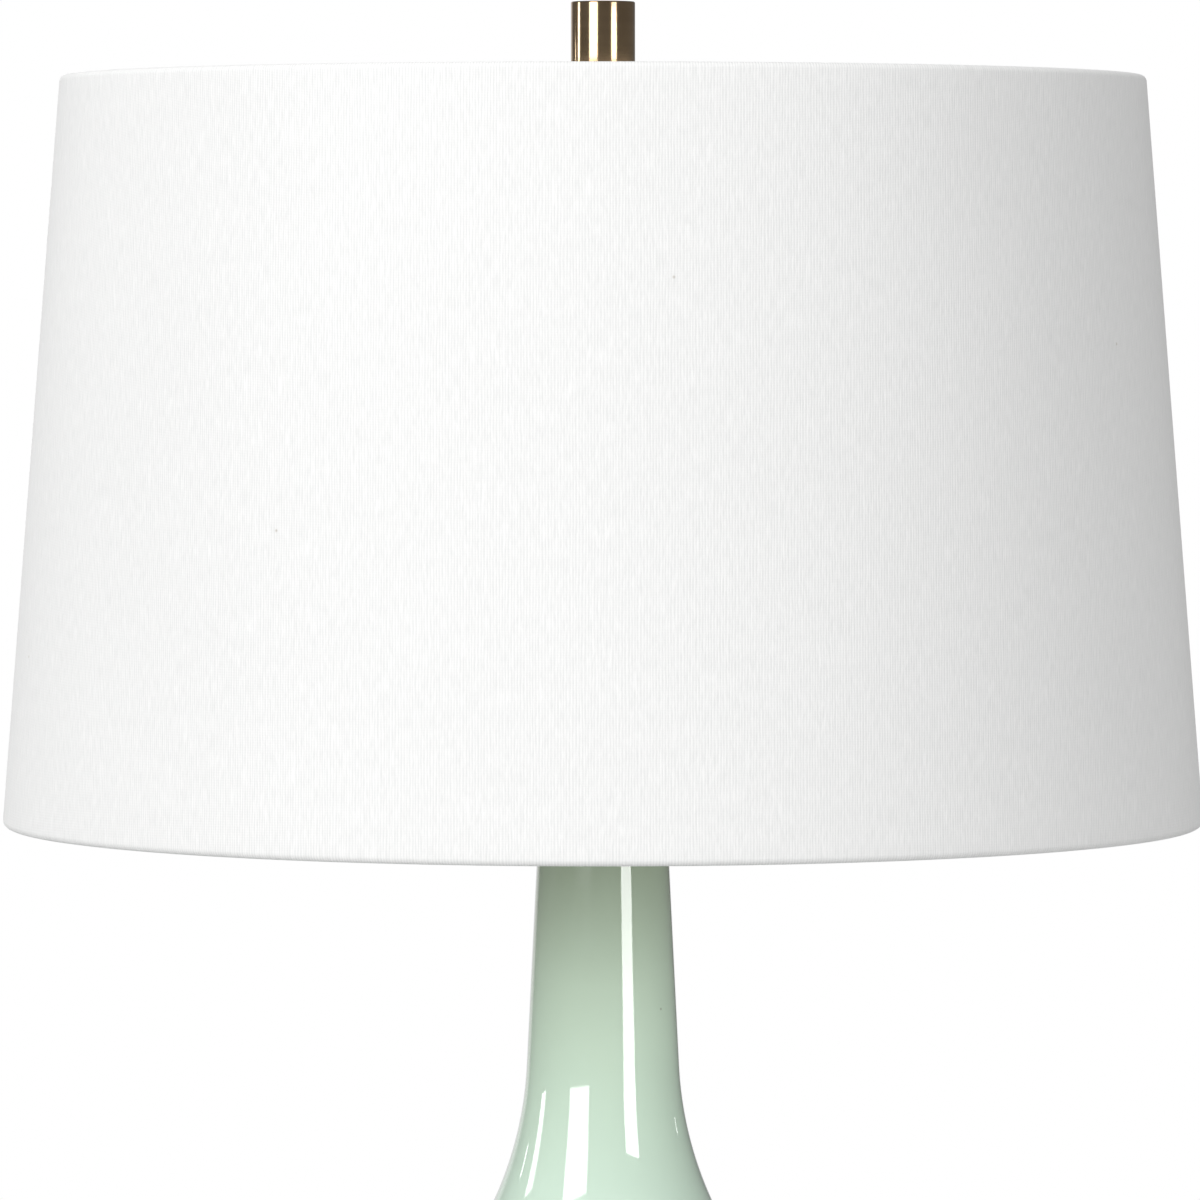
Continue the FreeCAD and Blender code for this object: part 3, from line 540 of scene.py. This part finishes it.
def bottle_side(inset):
    """The bottle's side, moved inwards by inset: a low arc out to the belly, the shoulder's arc in to
    where the curve flexes, and the hollow arc up to the straight, leaning neck. The outer side's low
    arc starts at the foot, and the inner side's at the floor, a little short of upright."""
    belly_radius, belly_height = BELLY
    spread, drop = belly_radius - BOTTLE_FOOT[0], belly_height - BOTTLE_FOOT[1]
    low_arc = (spread**2 + drop**2) / (2 * spread)
    low_centre = (belly_radius - low_arc, belly_height)
    foot_turn = math.degrees(math.atan2(drop, BOTTLE_FOOT[0] - low_centre[0]))
    start = -(foot_turn if inset == 0 else INNER_START)
    shoulder_centre = np.array([belly_radius - SHOULDER_ARC, belly_height])
    turn = math.radians(SHOULDER_TURN)
    flex = shoulder_centre + SHOULDER_ARC * np.array([math.cos(turn), math.sin(turn)])
    hollow_centre = flex + HOLLOW_ARC * np.array([math.cos(turn), math.sin(turn)])
    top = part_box("ceramic_body")[1].z - BOTTLE_LEVEL
    hollow = arc(hollow_centre, HOLLOW_ARC + inset, 180 + SHOULDER_TURN, 180 + NECK_LEAN, 60)
    lean = math.tan(math.radians(NECK_LEAN))
    rise = np.linspace(hollow[-1, 1], top, 12)[1:]
    neck = np.stack([hollow[-1, 0] - (rise - hollow[-1, 1]) * lean, rise], -1)
    low = arc(low_centre, low_arc - inset, start, 0, ARC_STEPS)
    shoulder = arc(shoulder_centre, SHOULDER_ARC - inset, 0, SHOULDER_TURN, ARC_STEPS)
    return np.concatenate([low, shoulder[1:], hollow[1:], neck])


def make_bottle():
    """The bottle: its outer side, a rolled lip, its inner side, a floor with the rod's hole and the
    recess inside the foot ring, turned as one closed wall."""
    outer = bottle_side(0.0)
    inner = bottle_side(BOTTLE_WALL)[::-1]
    lip = outer[-1] - [BOTTLE_WALL / 2, BOTTLE_WALL / 2]
    outer = outer[outer[:, 1] < lip[1]]
    inner = inner[inner[:, 1] < lip[1]]
    lip = arc(lip, BOTTLE_WALL / 2, 0, 180, 13)
    foot_radius = BOTTLE_FOOT[0]
    hole, recess, floor, ring = 7.1 * MM, 3.0 * MM, 12.0 * MM, 50.0 * MM
    base = rounded(
        [
            (inner[-1, 0], floor),
            (hole, floor),
            (hole, recess),
            (ring, recess, 1.0 * MM),
            (ring, 0, 0.8 * MM),
            (foot_radius, 0, 1.2 * MM),
            (foot_radius, BOTTLE_FOOT[1]),
        ]
    )
    outline = np.concatenate([outer, lip, inner, base]) + [0, BOTTLE_LEVEL]
    points, faces = lathe(outline, BOTTLE_COLUMNS)
    make_piece("glazed_bottle", points, faces, GLAZE, "base", "celadon_glaze", ["ceramic_body"])


# ---- Foot and neck hardware --------------------------------------------------------------------


def make_smoothed():
    """CAD pieces whose shape is final, with their facets joined and a material of their own."""
    finishes = {
        "foot": (ANTIQUE, "antique_brass", "base"),
        "neck_cap": (ANTIQUE, "antique_brass", "base"),
        "cord_bushing": (NYLON, "black_nylon", "base"),
        "neck_nut": (HARDWARE, "brass_hardware", "base"),
        "bottom_nut": (HARDWARE, "brass_hardware", "base"),
        "bottom_washer": (ZINC, "zinc_steel", "base"),
        "harp_saddle": (HARDWARE, "brass_hardware", "base"),
        "socket_cap": (BRIGHT, "bright_brass", "base"),
        "socket_shell": (BRIGHT, "bright_brass", "base"),
        "socket_core": (PHENOLIC, "phenolic", "base"),
        "screw_shell": (ALUMINIUM, "socket_aluminium", "base"),
        "socket_insulator": (CARD, "insulating_card", "base"),
        "harp_wire_right": (HARDWARE, "brass_hardware", "harp"),
        "harp_wire_left": (HARDWARE, "brass_hardware", "harp"),
        "harp_top_block": (HARDWARE, "brass_hardware", "harp"),
        "harp_sleeve_right": (BRIGHT, "bright_brass", "sleeve_right"),
        "harp_sleeve_left": (BRIGHT, "bright_brass", "sleeve_left"),
        "spider_hub": (BRIGHT, "bright_brass", "shade"),
        "spider_arm_back": (ENAMEL, "white_enamel", "shade"),
        "spider_arm_left": (ENAMEL, "white_enamel", "shade"),
        "spider_arm_right": (ENAMEL, "white_enamel", "shade"),
    }
    for node, (material, slot, body) in finishes.items():
        make_piece(f"{node}_finished", *smoothed(node), material, body, slot, [node])


def finish_kept_nodes():
    """CAD pieces that stay as they are get their material."""
    finishes = {
        "felt_ring": FELT,
        "foot_gasket": CORK,
        "lock_washer": ZINC,
        "neck_gasket": RUBBER,
        "threaded_rod": ZINC,
        "centre_contact": HARDWARE,
        "terminal_screws": HARDWARE,
        "shade_top_ring": ENAMEL,
        "shade_bottom_ring": ENAMEL,
        "switch_shaft": ZINC,
    }
    for node, material in finishes.items():
        mesh = NODES[node].data
        mesh.materials.clear()
        mesh.materials.append(material)


def make_harp_stud():
    """The swivelling stud: retaining head, neck, shoulder and a finely threaded end."""
    low, high = (corner.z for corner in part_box("harp_stud"))
    screw_length, shoulder_height = 11.9 * MM, 2.1 * MM
    head, neck, shoulder = 3.3 * MM, 2.5 * MM, 8.0 * MM
    core, crest, pitch = 2.75 * MM, 3.17 * MM, 0.94 * MM
    head_top = low + 1.5 * MM
    shoulder_top = high - screw_length
    shoulder_low = shoulder_top - shoulder_height
    body = rounded(
        [
            (0, low),
            (head, low, 0.3 * MM),
            (head, head_top),
            (neck, head_top),
            (neck, shoulder_low),
            (shoulder, shoulder_low, 0.4 * MM),
            (shoulder, shoulder_top, 0.5 * MM),
            (0, shoulder_top),
        ]
    )
    screw = threaded(core, crest, pitch, shoulder_top - 0.2 * MM, high)
    points, faces = combined(lathe(body, 64), screw)
    make_piece("harp_stud_threaded", points, faces, HARDWARE, "stud", "brass_hardware", ["harp_stud"])


# ---- Switch and bulb ---------------------------------------------------------------------------

FLUTES = 18
FLUTE_DEPTH = 0.045


def make_switch_knob():
    """The turn knob: a round collar, then a grip with rounded flutes. The grip's radius dips as 1 less
    the cosine of the angle times the number of flutes, and the dips fade out at both its ends."""
    low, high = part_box("switch_knob")
    level = (low.z + high.z) / 2
    start, end = -high.y, -low.y
    collar_end = start + 4.0 * MM
    bore, collar_radius, grip = 2.0 * MM, 6.4 * MM, 5.2 * MM
    collar = rounded(
        [
            (bore, start),
            (collar_radius, start, 0.6 * MM),
            (collar_radius, collar_end, 1.0 * MM),
            (bore, collar_end + 0.2 * MM),
        ]
    )
    handle = rounded(
        [
            (0, collar_end - 0.5 * MM),
            (grip, collar_end - 0.5 * MM),
            (grip, end, 1.2 * MM),
            (0, end),
        ],
        9,
    )

    def fluted(angle, height):
        rise = np.clip((height - collar_end) / (1.5 * MM), 0, 1)
        fall = np.clip((end - height) / (1.2 * MM), 0, 1)
        return 1 - FLUTE_DEPTH * rise * fall * (1 - np.cos(FLUTES * angle))

    steps = np.linspace(0, 1, 14)[1:-1, None]
    side_low, side_high = handle[1], handle[2]
    side = side_low + (side_high - side_low) * steps
    handle = np.concatenate([handle[:2], side, handle[2:]])
    shape = combined(lathe(collar, 72), lathe(handle, 12 * FLUTES, fluted))
    points, faces = forwards(shape, level)
    make_piece(
        "switch_knob_fluted", points, faces, KNOB_BLACK, "switch", "black_phenolic", ["switch_knob"]
    )


def make_bulb():
    """The bulb: solder tip, glass insulator, rolled screw base, ribbed housing and diffusing globe."""
    tip_face, tip_radius = 3.4 * MM, 4.5 * MM
    tip_low, tip_high = (corner.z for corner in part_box("bulb_tip"))
    tip = rounded([(0, tip_low), (tip_face, tip_low, 0.8 * MM), (tip_radius, tip_high), (0, tip_high)])
    make_piece("bulb_solder_tip", *lathe(tip, 48), ZINC, "bulb", "zinc_steel", ["bulb_tip"])

    cone_low, cone_high = (corner.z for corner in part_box("bulb_insulator"))
    cone = rounded(
        [
            (0, cone_low),
            (tip_radius, cone_low),
            (7.5 * MM, cone_low + 1.2 * MM, 1.0 * MM),
            (12.0 * MM, cone_high),
            (0, cone_high),
        ]
    )
    make_piece("bulb_base_glass", *lathe(cone, 64), DARK_GLASS, "bulb", "black_glass", ["bulb_insulator"])

    core, crest, pitch = 11.9 * MM, 13.0 * MM, 3.63 * MM
    collar_foot, collar_radius, collar_height = 12.2 * MM, 12.9 * MM, 3.6 * MM
    screw_low, screw_high = (corner.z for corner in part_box("bulb_screw_base"))
    screw = threaded(core, crest, pitch, screw_low, screw_high - 3.0 * MM, 72, 14)
    collar = rounded(
        [
            (0, screw_high - collar_height),
            (collar_foot, screw_high - collar_height),
            (collar_radius, screw_high - 1.2 * MM, 0.8 * MM),
            (collar_radius, screw_high),
            (0, screw_high),
        ]
    )
    points, faces = combined(screw, lathe(collar, 72))
    make_piece("bulb_screw_threaded", points, faces, NICKEL, "bulb", "nickel_shell", ["bulb_screw_base"])

    make_bulb_housing()
    make_bulb_globe()


HOUSING_RIBS = 30
HOUSING_RIB_DEPTH = 0.022


def make_bulb_housing():
    """The housing flares as a hollow arc from neck to lip. Shallow ribs run up its side: between them
    the radius dips as a raised cosine of the angle, squared, and the dips fade out at both ends."""
    low, high = (corner.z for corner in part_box("bulb_housing"))
    neck, lip, flare = 14.2 * MM, 27.2 * MM, 52.0 * MM
    foot = np.array([neck, low + 1.5 * MM])
    rim = np.array([lip, high - 1.5 * MM])
    chord = rim - foot
    half = np.linalg.norm(chord) / 2
    outside = np.array([chord[1], -chord[0]]) / (2 * half)
    centre = (foot + rim) / 2 + outside * math.sqrt(flare**2 - half**2)
    angles = [math.degrees(math.atan2(*(point - centre)[::-1])) for point in (foot, rim)]
    start, end = (angle % 360 for angle in angles)
    side = arc(centre, flare, start, end, 30)
    outline = np.concatenate(
        [
            [[0, low], [neck - 0.6 * MM, low], [neck, low + 0.6 * MM]],
            side,
            [[lip, high - 0.4 * MM], [lip - 0.4 * MM, high], [0, high]],
        ]
    )

    def ribbed(angle, height):
        rise = np.clip((height - low - 6 * MM) / (5 * MM), 0, 1)
        fall = np.clip((high - 5 * MM - height) / (5 * MM), 0, 1)
        return 1 - HOUSING_RIB_DEPTH * (rise * fall) * (0.5 - 0.5 * np.cos(HOUSING_RIBS * angle)) ** 2

    points, faces = lathe(outline, 8 * HOUSING_RIBS, ribbed)
    make_piece("bulb_housing_ribbed", points, faces, HOUSING, "bulb", "white_plastic", ["bulb_housing"])


def make_bulb_globe():
    """The globe swells from the housing's lip to its belly, then closes as a dome."""
    low, high = (corner.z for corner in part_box("bulb_globe"))
    lip, belly, rise = 27.0 * MM, 30.0 * MM, 16.0 * MM
    dome = high - low - rise
    angle = np.linspace(0, np.pi / 2, 40)
    top = np.stack([belly * np.cos(angle), low + rise + dome * np.sin(angle)], -1)
    share = np.linspace(0, 1, 16)[:-1]
    swell = np.stack([lip + (belly - lip) * np.sin(share * np.pi / 2), low + rise * share], -1)
    outline = np.concatenate([[[0, low]], swell, top])
    make_piece("bulb_globe_frosted", *lathe(outline, 128), GLOBE, "bulb", "frosted_globe", ["bulb_globe"])


# ---- Shade -------------------------------------------------------------------------------------

# The cloth's outer face runs ROLL from the rings' centres, and its hems turn in by HEM_TURN degrees
# past the wall's own plane. TURN_IN is the cloth that each hem takes. GAP keeps two faces apart.
ROLL = 2.6 * MM
CLOTH = 0.8 * MM
LINER = 0.6 * MM
HEM_TURN = 35.0
TOP_RADIUS = 218.0 * MM
MEAN_RADIUS = 230.0 * MM
LAP_HALF_WIDTH = 4.5 * MM
LAP_LIFT = 0.45 * MM
LINER_SET_BACK = 1.7 * MM
GAP = 0.02 * MM
SHADE_COLUMNS = 384


def wall_frame():
    """The lower ring's centre, the wall's length between the rings, and its upward and outward
    directions as (radius, height), from the shade's own box."""
    low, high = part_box("shade_fabric")
    low_centre = np.array([high.x - ROLL, low.z + ROLL])
    top_centre = np.array([TOP_RADIUS - ROLL, high.z - ROLL])
    rise = top_centre - low_centre
    length = np.linalg.norm(rise)
    up = rise / length
    return low_centre, length, up, np.array([up[1], -up[0]])


def wall_points(outline):
    """Turns an outline of (outward, up the wall) into (radius, height)."""
    low_centre, _, up, out = wall_frame()
    return low_centre + outline[:, :1] * out + outline[:, 1:] * up


def cloth_path(radius, reach):
    """The cloth's run in the wall's own directions, for one of its faces: the lower tuck, the roll
    under the lower ring, the wall, the roll over the upper ring, and the upper tuck. The rolls are
    arcs of the radius about the rings, and reach is the share of the way to the liner that a tuck
    runs."""
    _, length, _, _ = wall_frame()
    hem = math.radians(HEM_TURN)
    across = ROLL - CLOTH - LINER + radius * math.cos(hem)
    tuck = np.array([-radius * math.cos(hem), radius * math.sin(hem)])
    end = tuck + across / math.sin(hem) * reach * np.array([math.sin(hem), math.cos(hem)])
    low = arc((0, 0), radius, 180 - HEM_TURN, 360, 22)
    wall = np.stack([np.full(62, radius), np.linspace(0, length, 62)], -1)[1:-1]
    half = np.concatenate([end[None], low])
    return np.concatenate([half, wall, (half * [1, -1] + [0, length])[::-1]])


def developed(path, angle):
    """Where each point lies in the flat cut: the cone's wall unrolled into a sector, by the length
    along the cloth and the angle round the shade."""
    low_centre, _, up, _ = wall_frame()
    lean = -up[0]
    run = np.concatenate([[0], np.cumsum(np.linalg.norm(np.diff(path, axis=0), axis=1))])
    sector = (low_centre[0] + ROLL) / lean - run[:, None]
    turn = angle[None, :] * lean
    return np.stack([sector * np.sin(turn), sector * np.cos(turn)], -1)


def sweep_cloth(outer, inner, angle, closed):
    """Carries a section with an outer and an inner face round the axis through the angles, where 0
    is the front. Gives points, faces and each face corner's place in the flat cut."""
    section = np.concatenate([outer, inner[::-1]])
    radius, height = wall_points(section).T[:, :, None]
    turn = angle[None, :]
    points = np.stack([radius * np.sin(turn), -radius * np.cos(turn), height + 0 * turn], -1)
    quads = grid_quads(len(section), len(angle), True, False)
    flat_outer = developed(outer, angle)
    flat = np.concatenate([flat_outer, flat_outer[::-1]]).reshape(-1, 2)
    points = points.reshape(-1, 3)
    if not closed:
        rows, columns = len(section), len(angle)
        i = np.arange(rows // 2 - 1)
        end = np.stack([i, i + 1, rows - 2 - i, rows - 1 - i], -1) * columns
        quads = np.concatenate([quads, end, (end + columns - 1)[:, ::-1]])
    uv = flat[quads]
    kept, merged, _ = joined(points, quads)
    a, b, c = kept[merged[:, 0]], kept[merged[:, 1]], kept[merged[:, 2]]
    if np.einsum("ij,ij->i", a, np.cross(b, c)).sum() < 0:
        merged, uv = merged[:, ::-1], uv[:, ::-1]
    return kept, merged, uv


def make_shade_cloth():
    """The cloth: one skin, rolled over both rings and tucked in against the liner, with the lap of
    its upright seam at the back."""
    angle = np.linspace(-np.pi, np.pi, SHADE_COLUMNS + 1)
    outer, inner = cloth_path(ROLL, 1.0), cloth_path(ROLL - CLOTH, 1.0)
    points, faces, uv = sweep_cloth(outer, inner, angle, True)
    cloth = make_piece("shade_cloth", points, faces, LINEN, "shade", "white_linen", ["shade_fabric"], uv)

    lap_angle = np.pi + np.linspace(-1, 1, 9) * LAP_HALF_WIDTH / MEAN_RADIUS
    lap_outer, lap_inner = cloth_path(ROLL + LAP_LIFT, 0.4), cloth_path(ROLL + GAP, 0.4)
    points, faces, uv = sweep_cloth(lap_outer, lap_inner, lap_angle, False)
    lap = make_piece("shade_seam_lap", points, faces, LINEN, "shade", "white_linen", (), uv)


def make_shade_liner():
    """The liner: a stiff cone of styrene between the rings, just inside the cloth."""
    _, length, _, _ = wall_frame()
    face = ROLL - CLOTH
    heights = np.linspace(LINER_SET_BACK, length - LINER_SET_BACK, 40)
    outer = np.stack([np.full(40, face - GAP), heights], -1)
    inner = np.stack([np.full(40, face - LINER), heights[::-1]], -1)
    points, faces = lathe(wall_points(np.concatenate([outer, inner])), SHADE_COLUMNS)
    make_piece("shade_liner_panel", points, faces, STYRENE, "shade", "white_styrene", ["shade_liner"])


# ---- Finial ------------------------------------------------------------------------------------


def make_finial():
    """The finial: a plain cylinder with crisp, barely broken edges on a short hidden neck."""
    low, high = (corner.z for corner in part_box("finial"))
    bore, neck, cylinder = 3.25 * MM, 7.0 * MM, 12.9 * MM
    neck_top, bore_top = low + 5.5 * MM, low + 12.5 * MM
    outline = rounded(
        [
            (bore, low),
            (neck, low, 0.4 * MM),
            (neck, neck_top),
            (cylinder, neck_top, 0.9 * MM),
            (cylinder, high, 0.6 * MM),
            (0, high),
            (0, bore_top),
            (bore, bore_top),
        ]
    )
    make_piece("finial_cylinder", *lathe(outline, 192), ANTIQUE, "finial", "antique_brass", ["finial"])


# ---- Studio ------------------------------------------------------------------------------------

# FADE_SPAN and BOUNCE_STOPS are distances from the lamp's axis. The first is where the floor fades to
# white, and the second what share of the light it throws back on other things.
FLOOR_RADIUS = 1.9
FLOOR_DROP = 0.2 * MM
FLOOR_TONE = 0.82
FADE_SPAN = (0.25, 1.0)
BOUNCE_STOPS = ((0.35, (0.76, 0.76, 0.76)), (0.95, (0.12, 0.12, 0.12)))
GLOSS_DIMMING = 0.55


def make_floor():
    """A pale disc that fades to the background's white away from the lamp, and keeps its shadow. Its
    far part, which the fade hides, throws little light back, and its underside is clear, so that the
    lamp's own underside shows."""
    rows, columns = 24, 96
    radius = np.linspace(0, FLOOR_RADIUS, rows)[:, None]
    angle = np.linspace(0, 2 * np.pi, columns, endpoint=False)[None, :]
    level = -FLOOR_DROP + 0 * radius * angle
    points = np.stack([radius * np.cos(angle), radius * np.sin(angle), level], -1).reshape(-1, 3)
    points, triangles = as_tris(points, grid_quads(rows, columns, False, True))
    mesh = bpy.data.meshes.new("floor")
    mesh.from_pydata(points.tolist(), [], triangles.tolist())
    floor = bpy.data.objects.new("floor", mesh)
    bpy.context.scene.collection.objects.link(floor)

    material, tree, shader = new_material("floor_white")
    place = object_place(tree)
    distance = add(tree, "VectorMath", {0: place}, operation="LENGTH").outputs["Value"]
    paths = add(tree, "LightPath").outputs
    seen = maths(tree, "MAXIMUM", paths["Is Camera Ray"], paths["Is Glossy Ray"])
    bounced = ramp(tree, distance, *BOUNCE_STOPS)
    pale = mixed(tree, seen, bounced, (FLOOR_TONE, FLOOR_TONE, FLOOR_TONE, 1))
    finish_shader(tree, shader, Base_Color=pale, Roughness=0.9, Specular_IOR_Level=0.1)

    dimmed = maths(tree, "MULTIPLY", paths["Is Glossy Ray"], GLOSS_DIMMING)
    strength = maths(tree, "SUBTRACT", 1.0, dimmed)
    white = add(tree, "Emission", {"Color": (1, 1, 1, 1), "Strength": strength})
    faded = maths(tree, "MULTIPLY", seen, smooth_rise(tree, distance, *FADE_SPAN))
    top = shader_mix(tree, faded, shader, white)
    under = add(tree, "NewGeometry").outputs["Backfacing"]
    both = shader_mix(tree, under, top, add(tree, "BsdfTransparent"))
    tree.links.new(both.outputs[0], tree.nodes["Material Output"].inputs["Surface"])
    mesh.materials.append(material)


# REAR is the way to the white behind the lamp, and REAR_SPAN where its edge fades, as the cosine of
# the angle from that way.
AMBIENT = 0.78
REAR = (-0.20, 0.98, 0)
REAR_SPAN = (0.88, 0.97)
ROOM_GLOSS, REAR_GLOSS = 0.15, 0.7


def make_world():
    """White behind the object, as the camera and gloss see it, and a dim room in front for gloss. Its
    diffuse light comes from a pale ceiling, and more from the left than from the right."""
    world = bpy.data.worlds.new("studio")
    world.use_nodes = True
    bpy.context.scene.world = world
    tree = world.node_tree
    paths = add(tree, "LightPath").outputs
    way = add(tree, "TexCoord").outputs["Generated"]
    across, _, up = add(tree, "SeparateXYZ", {0: way}).outputs
    behind = add(tree, "VectorMath", {0: way, 1: REAR}, operation="DOT_PRODUCT").outputs["Value"]
    gloss = span_of(tree, smooth_rise(tree, behind, *REAR_SPAN), ROOM_GLOSS, REAR_GLOSS)
    ceiling = add(tree, "MapRange", {"Value": up, "From Min": 0.0, "From Max": 0.6, "To Min": 0.25})
    side = add(tree, "MapRange", {"Value": across, "From Min": -1.0, "To Min": 1.3, "To Max": 0.7})
    room = maths(tree, "MULTIPLY", ceiling.outputs[0], side.outputs[0])
    room = maths(tree, "MULTIPLY", room, AMBIENT)

    def glow(strength):
        return add(tree, "Background", {"Color": (1, 1, 1, 1), "Strength": strength})

    lit = shader_mix(tree, paths["Is Glossy Ray"], glow(room), glow(gloss))
    seen = maths(tree, "MAXIMUM", paths["Is Camera Ray"], paths["Is Transmission Ray"])
    shown = shader_mix(tree, seen, lit, glow(1.0))
    tree.links.new(shown.outputs[0], tree.nodes["World Output"].inputs["Surface"])


LIGHT_DISTANCE = 2.2
LIGHT_AIM = 0.45

# Each softbox's azimuth in degrees from the camera's side, right positive; its low and high edges as
# elevations in degrees seen from the lamp; its width in metres; and its power in watts.
SOFTBOXES = {
    "key_left": (-35, -0.5, 32, 1.15, 28.9),
    "strip_right": (40, -6, 18.5, 0.70, 14.6),
    "edge_left": (-97, -2.2, 18, 0.32, 4.2),
    "edge_far_left": (-117, 4, 9, 0.08, 0.25),
    "edge_right": (121, -0.6, 1.6, 0.07, 0.07),
}


def make_lights():
    """Upright softboxes round the lamp, all facing it: the wide key in front to the left, a slimmer one
    to the right, and narrow edge lights at both sides."""
    for name, (azimuth, low, high, width, power) in SOFTBOXES.items():
        bottom = LIGHT_AIM + LIGHT_DISTANCE * math.tan(math.radians(low))
        top = LIGHT_AIM + LIGHT_DISTANCE * math.tan(math.radians(high))
        turn = math.radians(azimuth)
        data = bpy.data.lights.new(name, "AREA")
        data.shape = "RECTANGLE"
        data.size = width
        data.size_y = top - bottom
        data.energy = power
        light = bpy.data.objects.new(name, data)
        across, back = LIGHT_DISTANCE * math.sin(turn), LIGHT_DISTANCE * math.cos(turn)
        light.location = (across, -back, (top + bottom) / 2)
        light.rotation_euler = (math.radians(90), 0, turn)
        light.visible_camera = False
        bpy.context.scene.collection.objects.link(light)


# ---- Build -------------------------------------------------------------------------------------

make_bottle()
make_smoothed()
finish_kept_nodes()
make_harp_stud()
make_switch_knob()
make_bulb()
make_shade_cloth()
make_shade_liner()
make_finial()
make_floor()
make_world()
make_lights()

bpy.context.scene.view_settings.view_transform = "Standard"
